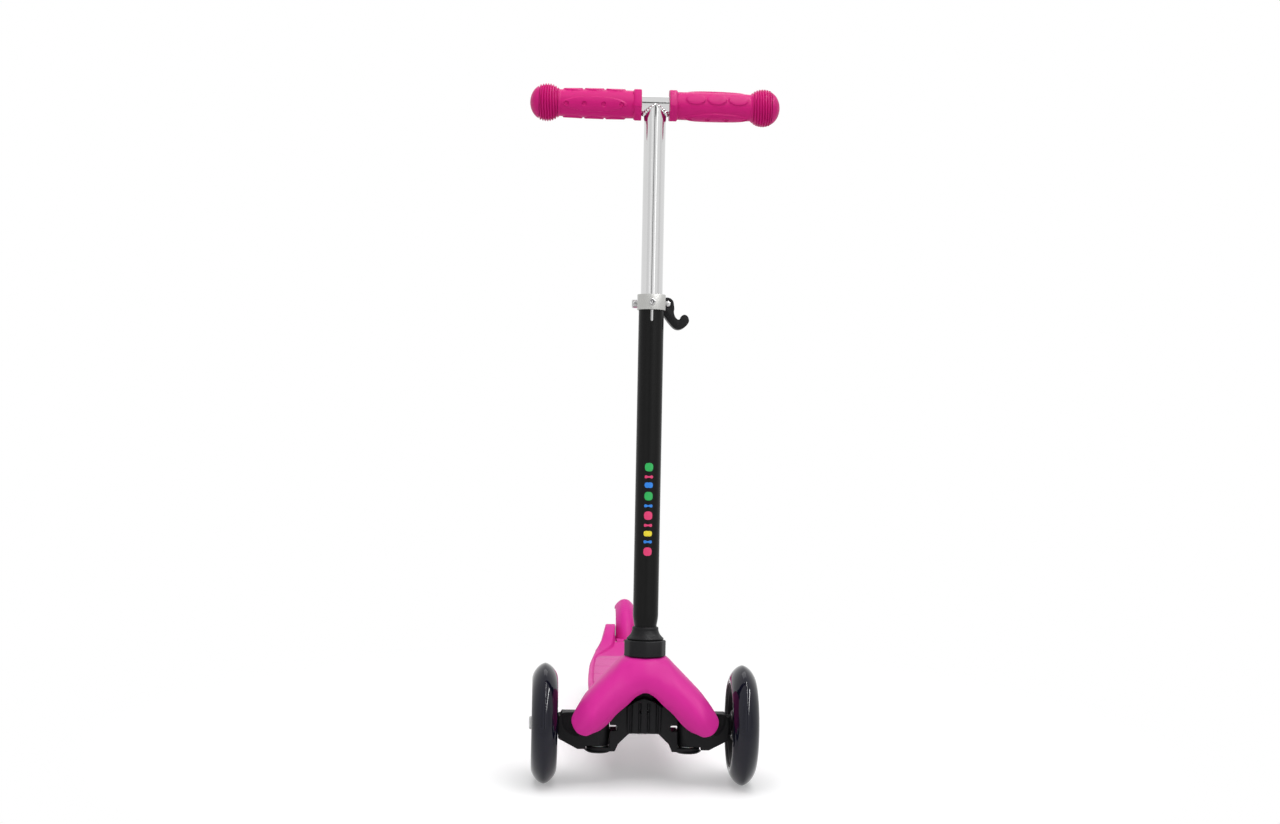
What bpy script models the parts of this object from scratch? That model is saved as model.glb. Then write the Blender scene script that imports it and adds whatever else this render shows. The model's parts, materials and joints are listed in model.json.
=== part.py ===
"""Three-wheel kick scooter: leaning board, two steered front wheels and one rear wheel.

Metres, +Z up, standing on z = 0. The front faces -Y and the rider's left is +X.
"""
import math

import bmesh
import bpy
from mathutils import Matrix, Vector

# Clearances
GAP = 0.0003                 # between two faces that touch
RUN_GAP = 0.001              # between a turning part and what stands still
OVERCUT = 0.001              # how far a cutting body runs past a face

# Facets round a turned piece
WHEEL_SIDES = 32
REAR_WHEEL_SIDES = 28
BIG_SIDES = 20
MID_SIDES = 12
SMALL_SIDES = 8

# Wheels
FRONT_WHEEL_RADIUS = 0.060
FRONT_WHEEL_WIDTH = 0.026
REAR_WHEEL_RADIUS = 0.050
REAR_WHEEL_WIDTH = 0.024
FRONT_TRACK = 0.199
WHEELBASE = 0.445
TYRE_DEPTH = 0.018           # tread to hub rim
TYRE_CROWN = 0.015           # the rounded part of that depth
CROWN_POWER = 1.25           # 1 is an ellipse, more is a pointed crown
RIM_WALL = 0.005
RIM_DRAFT = 0.001            # how much thinner the rim is at its edge
WINDOW_MARGIN = 0.0024       # from a spoke window to the rim or the boss
WEB_HALF = 0.005
HUB_BOSS_RADIUS = 0.0150
HUB_BORE = 0.0080
SPOKE_COUNT = 6
SPOKE_WIDTH = 0.007

# Bearings and axles
BEARING_RADIUS = 0.011
BEARING_BORE = 0.00415
BEARING_WIDTH = 0.007
BEARING_SHOULDER = 0.0029    # half the shoulder between a hub's two bearings
AXLE_RADIUS = 0.00385
AXLE_HEAD_RADIUS = 0.0065
AXLE_HEAD_HEIGHT = 0.0035
AXLE_HEAD_SINK = 0.0007      # below the tyre's outer face
AXLE_TIP = 0.020             # from the kingpin
HEAD_BEVEL = 0.0010
NUT_HEIGHT = 0.0050
NUT_RADIUS = 0.0075
SHOULDER_RADIUS = 0.0055
SHAFT_BORE = AXLE_RADIUS + GAP

# Steering
KINGPIN_X = 0.045
EYE_RADIUS = 0.0105
EYE_BORE = 0.006
EYE_LOW = 0.0391
EYE_HIGH = 0.0711
BUSH_FLANGE = 0.0010
BUSH_FLANGE_RADIUS = 0.0085
BUSH_SLEEVE = 0.0080
UPPER_LUG_THICKNESS = 0.0070
UPPER_LUG_RADIUS = 0.013
LOWER_LUG_THICKNESS = 0.0035
LOWER_LUG_RADIUS = 0.0122
CAP_HEIGHT = 0.0020
CAP_BEVEL = 0.0024
KINGPIN_HEAD_HEIGHT = 0.0032
LEVER_LENGTH = 0.017
LEVER_HALF = 0.004
LEVER_THICKNESS = 0.006
STUD_RADIUS = 0.0025
ROD_Z = 0.049
ROD_THICKNESS = 0.005
ROD_HALF = 0.0036
ROD_PAD_RADIUS = 0.0058
ROD_PIN_PLAY = 0.0004
FINGER_PLAY = 0.0005
BOSS_RADIUS = 0.0105
BOSS_END_GAP = 0.0003
ARM_FRONT = 0.0109
ARM_BACK = 0.009
ARM_TOP = 0.0720
ARM_SHOULDER = 0.0694        # top of the block beside the wheel
ARM_LOW = 0.0362
ARM_FLAT_END = 0.0210        # from the kingpin
ARM_END = 0.0405             # from the kingpin
ARM_END_LOW = 0.0465
DISH_RADIUS = 0.0160
DISH_X = 0.0213              # from the kingpin
DISH_Z = 0.0655
DISH_DEPTH = 0.006

# Axle carrier and lean pivot
LEAN_Z = 0.0745
PIVOT_SKIN = 0.002           # left in front of the lean pivot's tip
CARRIER_FRONT = 0.012
CARRIER_BACK = 0.010
HOUSING_FRONT = 0.014
HOUSING_HALF = 0.020
HOUSING_REAR = 0.028
HOUSING_WALL = 0.0060
FRONT_WALL = 0.0080
HOUSING_LOW = 0.0525
HOUSING_FLOOR = 0.003
HOUSING_HIGH = 0.0885
CAVITY_HALF = 0.013
FLOOR_BACK = 0.008
RIB_GROOVE_WIDTH = 0.0026
RIB_GROOVE_DEPTH = 0.0018
RIB_GROOVE_FOOT = 0.0015     # from the housing's lower edge
RIB_GROOVE_HEAD = 0.004      # from its upper edge
RIB_PITCH = 0.0088
RIB_GROOVES = 4
TONGUE_HALF = 0.009
TONGUE_LOW = 0.063
FINGER_RADIUS = 0.0028
SPRING_X = 0.0315
SPRING_RADIUS = 0.0042
SPRING_WIRE = 0.0007
SPRING_TURNS = 4.5

# Head core, stem foot and stem
STEM_FOOT_Z = 0.130
STEM_RAKE = math.radians(4.0)
CORE_HALF = 0.0175
CORE_FRONT = 0.0135
CORE_BACK = 0.0215
CORE_LOW = 0.0935
CORE_HIGH = 0.1210
WING_HALF_LENGTH = 0.007
WING_REACH = 0.037
WING_LOW = 0.0975
WING_THICKNESS = 0.0055
SOCKET_DEPTH = 0.029
BOSS_HEIGHT = 0.0142
BOSS_WALL = 0.0024
BEAM_HALF = 0.018
BEAM_SHOULDER = 0.006        # below the core's top
BEAM_KNEE_D = 0.042          # where the beam's top bends, behind the axle and high
BEAM_KNEE_Z = 0.104
BEAM_TOE_D = 0.068
BEAM_TOE_Z = 0.084
BEAM_END_HEIGHT = 0.0115
BEAM_END_GAP = 0.003
STEM_RADIUS = 0.0127
STEM_WALL = 0.0014
SWAGE_RADIUS = 0.0110
SWAGE_LOW = 0.0285
SWAGE_HIGH = 0.0380
STEM_LENGTH = 0.3624
STEM_SLOT_WIDTH = 0.0034
STEM_SLOT_DEPTH = 0.0245
COLLAR_HEIGHT = 0.0155
COLLAR_RADIUS = 0.0203
COLLAR_SIDES = 8
COLLAR_CORNER = 0.13         # half the angle that a rounded corner takes
COLLAR_CORNER_SHARE = 0.985  # of a sharp corner's reach
BOOT_HEIGHT = 0.0130
BOOT_LOW_RADIUS = 0.0180
BOOT_LIP_RADIUS = 0.0126
BUTTON_RADIUS = 0.0030
BUTTON_REACH = 0.0235
BUTTON_FLANGE = 0.0044
BUTTON_FLANGE_HEIGHT = 0.0018
BUTTON_SEAT = 0.0016         # from the flange to the tube's wall
BUTTON_HEIGHT = 0.0070

# Stem clamp
CLAMP_HEIGHT = 0.0155
CLAMP_WALL = 0.0013
EAR_HALF = 0.0080
EAR_BACK = 0.0250
EAR_SLIT = 0.0012
EAR_STEP = 0.0004            # the ears are this much lower than the ring
CLAMP_BOLT_Y = 0.0190
CLAMP_BOLT_RADIUS = 0.0023
CLAMP_BOLT_TIP = 0.0015
CLAMP_NUT_RADIUS = 0.0045
CLAMP_NUT_LENGTH = 0.0107
NUT_END_WALL = 0.0017
WASHER_THICKNESS = 0.0010
WASHER_RADIUS = 0.0055
CAM_X = 0.0172
CAM_RADIUS = 0.0075
CAM_DROP = 0.0012            # what the cam loses over its turn
CAM_TURN = math.radians(110.0)
BARREL_RADIUS = 0.0030
BARREL_HALF = 0.0090
LEVER_WIDTH = 0.0150
FORK_SLOT = 0.0054
SCREW_HEAD_RADIUS = 0.0034
SCREW_HEAD_HEIGHT = 0.0020
SCREW_RADIUS = 0.0013

# Handlebar
BAR_Z = 0.5552               # crossbar above the stem foot, along the stem
INNER_RADIUS = 0.0110
INNER_WALL = 0.0015
INNER_LOW = 0.1624
CROSSBAR_RADIUS = 0.0094
CROSSBAR_WALL = 0.0015
FLARE_HALF = 0.0142
FLARE_HEIGHT = 0.0160
GRIP_START = 0.0143
GRIP_END = 0.1265
GRIP_FLANGE = 0.0080
GRIP_FLANGE_RADIUS = 0.0184
GRIP_FLAT_COUNT = 6
GRIP_FLAT_TURN = math.radians(-7.5)      # the front flat faces a little down
GRIP_CORNER_SHARE = 0.935    # how far the flange's clipped corners reach
GRIP_SIDES = 48
GRIP_RADIUS = 0.0145
GRIP_NECK_RADIUS = 0.0130
GRIP_BALL_RADIUS = 0.0189
GRIP_BALL_WIDEST = 0.1095
GRIP_BALL_INNER = 0.0175     # from the widest place inwards
GRIP_CAP = 0.0050
PLUG_FLANGE = 0.0035
PLUG_LENGTH = 0.0140

# Front cover
COVER_WALL = 0.0030
COVER_BACK = 0.097
COVER_HALF = 0.0732
COVER_TOP = 0.1294
NET_BACK = 0.097             # the sizes that the cover's net is drawn for
NET_HALF = 0.0732
NET_LOW = 0.0600
NET_TOP = 0.1294

# Board
DECK_TOP = 0.0740
DECK_LOW = 0.0600
DECK_HALF = 0.0520
DECK_SKIN = 0.0035
DECK_RIM = 0.0080            # the raised edge round the tread
DECK_RIM_HEIGHT = 0.0015
DECK_BEVEL = 0.0025
FLAT_BEFORE_PIVOT = 0.058    # where the board starts to narrow into the fork
BAY_COUNT = 3
BAY_WALL = 0.008
FORK_HALF = 0.0140
FORK_FRONT_GAP = 0.0028
FORK_EAR_INNER = 0.0150
FORK_EAR_OUTER = 0.0256
FORK_SIDE = 0.0305
FORK_PAD_X = 0.0277          # outer faces that the rear axle clamps
FORK_PAD_RADIUS = 0.0082
KEEL_HALF = 0.024
KEEL_THICKNESS = 0.0047
KEEL_EDGE = 0.0015
KEEL_START = 0.048
KEEL_BEFORE_PIVOT = 0.025
MAT_MARGIN = 0.0055          # from the deck's front edge
MAT_THICKNESS = 0.0012
MAT_EDGE = 0.0100
MAT_CORNER = 0.0120
KEEL_SCREW_MARGIN = 0.010    # from the keel's rear end
CORE_SCREW_D = 0.075
KEEL_SCREW_RADIUS = 0.0020
KEEL_SCREW_HEAD = 0.0040
KEEL_SCREW_HEIGHT = 0.0024
KEEL_SCREW_BITE = 0.0110

# Brake
BRAKE_PIVOT_AHEAD = 0.075    # of the rear axle
BRAKE_PIVOT_ABOVE = 0.030
BRAKE_PIN_RADIUS = 0.0020
BRAKE_PIN_HALF = 0.0285
BRAKE_SPRING_RADIUS = 0.0034
BRAKE_SPRING_WIRE = 0.0006
BRAKE_SPRING_HALF = 0.0036
BRAKE_SPRING_TURNS = 3.5
FENDER_EYE_RADIUS = 0.0052
FENDER_RISE = 0.022          # crest above the tyre
FENDER_HALF = 0.0125
FENDER_DROP = 0.0095         # crest to edge
FENDER_WALL = 0.0026
FENDER_FRONT_DROP = math.radians(4.2)   # short of the pivot's own angle
FENDER_STEP = math.radians(10.0)
FENDER_STEPS = 10
FENDER_CREST_STEP = 6
FENDER_TAIL_RISE = 0.5       # share of the drop that the skirt loses behind the crest
SHOE_GAP = 0.0060
SHOE_HALF = 0.0070
SHOE_FROM_STEP = 4
SHOE_STEPS = 3

# Places that follow from the sizes above
AXLE_Y = FRONT_WHEEL_RADIUS - (FRONT_WHEEL_RADIUS + WHEELBASE + REAR_WHEEL_RADIUS) / 2
AXLE_Z = FRONT_WHEEL_RADIUS
REAR_Z = REAR_WHEEL_RADIUS
WHEEL_X = FRONT_TRACK / 2
DECK_START = COVER_BACK + GAP
BRAKE_PIVOT_D = WHEELBASE - BRAKE_PIVOT_AHEAD
BRAKE_PIVOT_Z = REAR_Z + BRAKE_PIVOT_ABOVE
FLAT_END = BRAKE_PIVOT_D - FLAT_BEFORE_PIVOT
FORK_START = BRAKE_PIVOT_D - FENDER_EYE_RADIUS - FORK_FRONT_GAP
KEEL_END = BRAKE_PIVOT_D - KEEL_BEFORE_PIVOT
KEEL_SCREWS = (CORE_SCREW_D, KEEL_END - KEEL_SCREW_MARGIN)
MAT_START = DECK_START + MAT_MARGIN
MAT_END = FLAT_END
BEAM_LOW = DECK_LOW
BEAM_BACK = COVER_BACK - BEAM_END_GAP
FENDER_RADIUS = REAR_WHEEL_RADIUS + FENDER_RISE
FENDER_FRONT = math.atan2(BRAKE_PIVOT_AHEAD, BRAKE_PIVOT_ABOVE) - FENDER_FRONT_DROP
LOWER_LUG_TOP = EYE_LOW - BUSH_FLANGE - GAP
LOWER_LUG_LOW = LOWER_LUG_TOP - LOWER_LUG_THICKNESS
UPPER_LUG_LOW = EYE_HIGH + BUSH_FLANGE + 2 * GAP
UPPER_LUG_TOP = UPPER_LUG_LOW + UPPER_LUG_THICKNESS
BUSH_WALL_RADIUS = EYE_BORE - GAP
SOCKET_RADIUS = SWAGE_RADIUS + GAP
CORE_BOSS_RADIUS = SOCKET_RADIUS + BOSS_WALL
COLLAR_BORE = CORE_BOSS_RADIUS + GAP
COLLAR_TOP = COLLAR_HEIGHT - GAP
STEM_BORE = STEM_RADIUS - STEM_WALL
CLAMP_BORE = STEM_RADIUS + GAP
CLAMP_Z = STEM_LENGTH - CLAMP_HEIGHT / 2 + GAP

X_AXIS, Y_AXIS, Z_AXIS = Vector((1, 0, 0)), Vector((0, 1, 0)), Vector((0, 0, 1))
TURNING = {"X": (X_AXIS, Z_AXIS), "Y": (Y_AXIS, X_AXIS), "Z": (Z_AXIS, X_AXIS)}
SHARP = math.radians(32.0)


# Tools that make meshes

def turned(profile, axis="Z", segments=24):
    """A turned body: the profile lists (distance along the axis, radius)."""
    along, out = TURNING[axis]
    bm = bmesh.new()
    verts = [bm.verts.new(along * a + out * r) for a, r in profile]
    edges = [bm.edges.new(pair) for pair in zip(verts, verts[1:])]
    if profile[0][1] > 0:
        edges.append(bm.edges.new((verts[-1], verts[0])))
    bmesh.ops.spin(bm, geom=verts + edges, cent=(0, 0, 0), axis=along,
                   angle=math.tau, steps=segments, use_merge=True)
    bmesh.ops.remove_doubles(bm, verts=bm.verts, dist=1e-7)
    bmesh.ops.recalc_face_normals(bm, faces=bm.faces)
    return bm


def rod_profile(low, high, radius, chamfer=0.0004):
    """A plain shaft with broken edges."""
    return [(low, 0), (low, radius - chamfer), (low + chamfer, radius),
            (high - chamfer, radius), (high, radius - chamfer), (high, 0)]


def drum(axis, low, high, radius, segments):
    """A plain cylinder about an axis through the origin."""
    return turned([(low, 0), (low, radius), (high, radius), (high, 0)], axis, segments)


def head_profile(face, height, radius):
    """A bolt head that stands on a face, with its outer edge bevelled."""
    return [(face, radius), (face + height - HEAD_BEVEL, radius),
            (face + height, radius - 1.5 * HEAD_BEVEL), (face + height, 0)]


def ring_profile(low, high, bore, radius):
    return [(low, bore), (low, radius), (high, radius), (high, bore)]


def prism(outline, axis, low, high):
    """An outline, as pairs in the two other axes, extruded along an axis."""
    spots = {"X": lambda a, b, t: (t, a, b),
             "Y": lambda a, b, t: (a, t, b),
             "Z": lambda a, b, t: (a, b, t)}[axis]
    bm = bmesh.new()
    face = bm.faces.new([bm.verts.new(spots(a, b, low)) for a, b in outline])
    grown = bmesh.ops.extrude_face_region(bm, geom=[face])["geom"]
    verts = [g for g in grown if isinstance(g, bmesh.types.BMVert)]
    bmesh.ops.translate(bm, verts=verts, vec=TURNING[axis][0] * (high - low))
    bmesh.ops.recalc_face_normals(bm, faces=bm.faces)
    return bm


def block(low, high):
    (x0, y0, z0), (x1, y1, z1) = low, high
    return prism([(x0, y0), (x1, y0), (x1, y1), (x0, y1)], "Z", z0, z1)


def skinned(rings):
    """Closed rings of points joined in order, with flat ends."""
    bm = bmesh.new()
    rows = [[bm.verts.new(p) for p in ring] for ring in rings]
    for a, b in zip(rows, rows[1:]):
        for i in range(len(a)):
            j = (i + 1) % len(a)
            bm.faces.new((a[i], a[j], b[j], b[i]))
    bm.faces.new(rows[0])
    bm.faces.new(rows[-1])
    bmesh.ops.recalc_face_normals(bm, faces=bm.faces)
    return bm


def coil(radius, wire, low, high, turns, sides=4, per_turn=6):
    """A helical spring about Z, with cut ends."""
    steps = round(turns * per_turn)
    rings = []
    for i in range(steps + 1):
        angle = math.tau * i / per_turn
        out = Vector((math.cos(angle), math.sin(angle), 0))
        z = low + wire + (high - low - 2 * wire) * i / steps
        ring = []
        for k in range(sides):
            turn = math.tau * k / sides
            ring.append(out * (radius + wire * math.cos(turn)) + Z_AXIS * (z + wire * math.sin(turn)))
        rings.append(ring)
    return skinned(rings)


def moved(bm, offset, turn=None):
    if turn:
        bmesh.ops.transform(bm, matrix=turn, verts=bm.verts)
    bmesh.ops.translate(bm, verts=bm.verts, vec=offset)
    return bm


def sided(bm, side):
    """The mesh as drawn for the rider's left, or its mirror image."""
    if side < 0:
        bmesh.ops.scale(bm, vec=(-1, 1, 1), verts=bm.verts)
        bmesh.ops.reverse_faces(bm, faces=bm.faces)
    return bm


def through(points, pieces):
    """Points along a smooth curve that passes through all the given ones."""
    before = points[0] * 2 - points[1]
    after = points[-1] * 2 - points[-2]
    run = [before, *points, after]
    curve = []
    for a, b, c, d in zip(run, run[1:], run[2:], run[3:]):
        for k in range(pieces):
            t = k / pieces
            curve.append((b * 2 + (c - a) * t + (a * 2 - b * 5 + c * 4 - d) * t * t
                          + (b * 3 - a - c * 3 + d) * t ** 3) / 2)
    return curve + [points[-1]]


# Tools that make objects

def finish(name, colour, roughness, metallic=0.0):
    mat = bpy.data.materials.new(name)
    mat.use_nodes = True
    shader = mat.node_tree.nodes["Principled BSDF"]
    shader.inputs["Base Color"].default_value = (*colour, 1)
    shader.inputs["Roughness"].default_value = roughness
    shader.inputs["Metallic"].default_value = metallic
    mat.diffuse_color = (*colour, 1)
    return mat


def hinge_point(name, at, parent=None, tilt=0.0):
    """An empty on a joint's axis, or at the head of a group of parts."""
    spot = bpy.data.objects.new(name, None)
    spot.location = at
    spot.rotation_euler = (tilt, 0, 0)
    spot.parent = parent
    bpy.context.collection.objects.link(spot)
    return spot


def piece(name, bm, material, parent, at=(0, 0, 0)):
    mesh = bpy.data.meshes.new(name)
    bm.to_mesh(mesh)
    bm.free()
    mesh.materials.append(material)
    mesh.shade_smooth()
    mesh.set_sharp_from_angle(angle=SHARP)
    body = bpy.data.objects.new(name, mesh)
    body.location = at
    body.parent = parent
    bpy.context.collection.objects.link(body)
    return body


def with_tool(body, bm, operation):
    mesh = bpy.data.meshes.new("tool")
    bm.to_mesh(mesh)
    bm.free()
    tool = bpy.data.objects.new("tool", mesh)
    tool.parent = body
    tool.hide_render = True
    tool.display_type = "WIRE"
    bpy.context.collection.objects.link(tool)
    step = body.modifiers.new(operation.title(), "BOOLEAN")
    step.operation = operation
    step.solver = "EXACT"
    step.object = tool


def add(body, *shapes):
    for bm in shapes:
        with_tool(body, bm, "UNION")


def cut(body, *shapes):
    for bm in shapes:
        with_tool(body, bm, "DIFFERENCE")


# Wheels

def tyre_profile(radius, width):
    """Hub seat, flat walls and a rounded crown, across the wheel's own X."""
    seat = radius - TYRE_DEPTH
    half = width / 2
    steps = 6
    crown = []
    for i in range(steps + 1):
        angle = math.pi * i / steps
        side = math.copysign(abs(math.cos(angle)) ** CROWN_POWER, math.cos(angle))
        crown.append((-half * side, radius - TYRE_CROWN + TYRE_CROWN * math.sin(angle) ** CROWN_POWER))
    return [(-half + RUN_GAP, seat), *crown, (half - RUN_GAP, seat)]


def hub_profile(rim, width):
    half = width / 2 - RUN_GAP
    boss = BEARING_SHOULDER + BEARING_WIDTH + 2 * GAP
    pocket = BEARING_RADIUS + GAP
    inner = rim - RIM_WALL
    return [(-half, rim), (half, rim), (half, inner + RIM_DRAFT), (WEB_HALF, inner - RIM_DRAFT),
            (WEB_HALF, HUB_BOSS_RADIUS), (boss, HUB_BOSS_RADIUS), (boss, pocket), (BEARING_SHOULDER, pocket),
            (BEARING_SHOULDER, HUB_BORE), (-BEARING_SHOULDER, HUB_BORE), (-BEARING_SHOULDER, pocket),
            (-boss, pocket), (-boss, HUB_BOSS_RADIUS), (-WEB_HALF, HUB_BOSS_RADIUS),
            (-WEB_HALF, inner - RIM_DRAFT), (-half, inner + RIM_DRAFT)]


def spoke_window(rim, index):
    """One opening between two spokes, cut right through the web along X."""
    low = HUB_BOSS_RADIUS + WINDOW_MARGIN
    high = rim - RIM_WALL - WINDOW_MARGIN
    pitch = math.tau / SPOKE_COUNT
    outline = []
    for radius, steps in ((low, 1), (high, 2)):
        half = pitch / 2 - math.asin(SPOKE_WIDTH / 2 / radius)
        sweep = [half * (2 * k / steps - 1) for k in range(steps + 1)]
        if radius == high:
            sweep.reverse()
        for angle in sweep:
            turn = angle + pitch * (index + 0.5)
            outline.append((radius * math.sin(turn), radius * math.cos(turn)))
    return prism(outline, "X", -2 * WEB_HALF, 2 * WEB_HALF)


def wheel(tag, radius, width, spin, sides, materials):
    """Tyre, hub and two bearings about the wheel's own axis."""
    rim = radius - TYRE_DEPTH - GAP
    piece(f"{tag}_tyre", turned(tyre_profile(radius, width), "X", sides), materials["tyre"], spin)
    hub = piece(f"{tag}_hub", turned(hub_profile(rim, width), "X", BIG_SIDES),
                materials["black"], spin)
    for index in range(SPOKE_COUNT):
        cut(hub, spoke_window(rim, index))
    middle = BEARING_SHOULDER + GAP + BEARING_WIDTH / 2
    for place, x in (("outer", middle), ("inner", -middle)):
        ring = ring_profile(-BEARING_WIDTH / 2, BEARING_WIDTH / 2, BEARING_BORE, BEARING_RADIUS)
        name = f"{tag}_bearing_{place}"
        at = (x * (-1 if tag.endswith("_r") else 1), 0, 0)
        piece(name, turned(ring, "X", MID_SIDES), materials["steel"], spin, at)


def axle_profile(low, shoulder, head):
    """A bolt with a collar on the bearing and a domed head, its tip at low."""
    return [(low, 0), (low, AXLE_RADIUS - GAP), (low + GAP, AXLE_RADIUS), (shoulder, AXLE_RADIUS),
            (shoulder, SHOULDER_RADIUS), (head, SHOULDER_RADIUS),
            *head_profile(head, AXLE_HEAD_HEIGHT, AXLE_HEAD_RADIUS)]


# Steering

def knuckle_arm():
    """The arm from the kingpin's eye out to the wheel, drawn from the front."""
    rim = DISH_X + DISH_RADIUS
    room = LOWER_LUG_RADIUS + RUN_GAP
    outline = [(0, EYE_HIGH - GAP), (UPPER_LUG_RADIUS, EYE_HIGH - GAP), (UPPER_LUG_RADIUS + RUN_GAP, ARM_TOP),
               (rim, ARM_TOP), (rim + RUN_GAP, ARM_SHOULDER), (ARM_END, ARM_SHOULDER), (ARM_END, ARM_END_LOW),
               (ARM_FLAT_END, ARM_LOW), (room - GAP, ARM_LOW), (room - GAP, EYE_LOW + GAP), (0, EYE_LOW + GAP)]
    return prism([(x, z - AXLE_Z) for x, z in outline], "Y", -ARM_FRONT, ARM_BACK)


def knuckle_dish():
    """The hollow in the arm's front, behind the cover's leg and open at the top."""
    rings = []
    for depth, share in ((-OVERCUT, 1.0), (0.0, 1.0), (0.0022, 0.94), (0.0045, 0.74), (DISH_DEPTH, 0.40)):
        radius = DISH_RADIUS * share
        y = depth - ARM_FRONT
        low = [(DISH_X - radius * math.cos(a), y, DISH_Z - AXLE_Z - radius * math.sin(a))
               for a in (math.pi * k / 10 for k in range(11))]
        top = ARM_TOP + OVERCUT - AXLE_Z
        rings.append(low + [(DISH_X + radius, y, top), (DISH_X - radius, y, top)])
    return skinned(rings)


def knuckle(side, steer, materials):
    tag = "l" if side > 0 else "r"
    low, high = EYE_LOW - AXLE_Z, EYE_HIGH - AXLE_Z
    body = piece(f"knuckle_{tag}", sided(drum("Z", low, high, EYE_RADIUS, BIG_SIDES), side),
                 materials["black"], steer)
    lever_low = ROD_Z + ROD_THICKNESS / 2 + GAP * 4 - AXLE_Z
    tip = [(LEVER_HALF * math.cos(math.pi * k / 4), LEVER_LENGTH + LEVER_HALF * math.sin(math.pi * k / 4))
           for k in range(5)]
    lever = prism([(-LEVER_HALF, EYE_RADIUS / 2), (LEVER_HALF, EYE_RADIUS / 2), *tip], "Z",
                  lever_low, lever_low + LEVER_THICKNESS)
    stud = moved(turned(rod_profile(ROD_Z - ROD_THICKNESS / 2 - AXLE_Z, lever_low + LEVER_THICKNESS / 2,
                                    STUD_RADIUS), "Z", MID_SIDES), (0, LEVER_LENGTH, 0))
    reach = WHEEL_X - KINGPIN_X - BEARING_SHOULDER - BEARING_WIDTH - 2 * GAP - BOSS_END_GAP
    ring = [(BOSS_RADIUS * math.cos(math.tau * k / MID_SIDES), BOSS_RADIUS * math.sin(math.tau * k / MID_SIDES))
            for k in range(MID_SIDES)]
    boss = prism(ring, "X", ARM_END - BOSS_RADIUS, reach)
    add(body, sided(knuckle_arm(), side), sided(boss, side), sided(lever, side), sided(stud, side))
    lug_room = drum("Z", LOWER_LUG_LOW - EYE_RADIUS - AXLE_Z, low, LOWER_LUG_RADIUS + RUN_GAP, BIG_SIDES)
    bore = drum("Z", low - OVERCUT, high + OVERCUT, EYE_BORE, BIG_SIDES)
    axle_hole = drum("X", AXLE_TIP - OVERCUT, WHEEL_X - KINGPIN_X, SHAFT_BORE, MID_SIDES)
    cut(body, sided(knuckle_dish(), side), sided(lug_room, side), sided(bore, side), sided(axle_hole, side))


def kingpin_bush(name, flange_low, up, parent, materials, side):
    """A flanged sleeve in the knuckle's eye: its sleeve runs up or down from the flange."""
    sleeve = flange_low + (BUSH_FLANGE + BUSH_SLEEVE if up else -BUSH_SLEEVE)
    far = flange_low if up else flange_low + BUSH_FLANGE
    near = flange_low + BUSH_FLANGE if up else flange_low
    profile = [(far, SHAFT_BORE), (far, BUSH_FLANGE_RADIUS), (near, BUSH_FLANGE_RADIUS),
               (near, BUSH_WALL_RADIUS), (sleeve, BUSH_WALL_RADIUS), (sleeve, SHAFT_BORE)]
    piece(name, sided(turned(profile, "Z", MID_SIDES), side), materials["bush"], parent)


def front_corner(side, carrier, materials):
    """One steered wheel with its knuckle, bushes and axle bolt."""
    tag = "l" if side > 0 else "r"
    steer = hinge_point(f"steer_axis_{tag}", (side * KINGPIN_X, 0, AXLE_Z), carrier)
    knuckle(side, steer, materials)
    kingpin_bush(f"knuckle_bush_lower_{tag}", LOWER_LUG_TOP + GAP / 2 - AXLE_Z, True, steer, materials, side)
    kingpin_bush(f"knuckle_bush_upper_{tag}", EYE_HIGH + GAP - AXLE_Z, False, steer, materials, side)
    tip = KINGPIN_X + AXLE_TIP - WHEEL_X
    shoulder = BEARING_SHOULDER + BEARING_WIDTH + 3 * GAP
    head = FRONT_WHEEL_WIDTH / 2 - AXLE_HEAD_SINK
    bolt = sided(turned(axle_profile(tip, shoulder, head), "X", MID_SIDES), side)
    offset = (side * (WHEEL_X - KINGPIN_X), 0, 0)
    piece(f"front_axle_bolt_{tag}", bolt, materials["steel"], steer, offset)
    spin = hinge_point(f"front_wheel_axis_{tag}", offset, steer)
    wheel(f"front_{tag}", FRONT_WHEEL_RADIUS, FRONT_WHEEL_WIDTH, spin, WHEEL_SIDES, materials)


def kingpins(side, carrier, materials):
    tag = "l" if side > 0 else "r"
    at = (side * KINGPIN_X, 0, 0)
    head = UPPER_LUG_TOP + GAP
    tip = LOWER_LUG_LOW - GAP - CAP_HEIGHT / 2
    profile = [(tip, 0), (tip, AXLE_RADIUS), (head, AXLE_RADIUS),
               *head_profile(head, KINGPIN_HEAD_HEIGHT, AXLE_HEAD_RADIUS)]
    piece(f"kingpin_{tag}", turned(profile, "Z", MID_SIDES), materials["steel"], carrier, at)
    top = LOWER_LUG_LOW - GAP
    low = top - CAP_HEIGHT
    socket = tip - GAP
    profile = [(low, 0), (low, LOWER_LUG_RADIUS - CAP_BEVEL), (top - CAP_HEIGHT * 0.2, LOWER_LUG_RADIUS - GAP),
               (top, LOWER_LUG_RADIUS - GAP), (top, SHAFT_BORE), (socket, SHAFT_BORE), (socket, 0)]
    piece(f"kingpin_cap_{tag}", turned(profile, "Z", BIG_SIDES), materials["black"], carrier, at)


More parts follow.
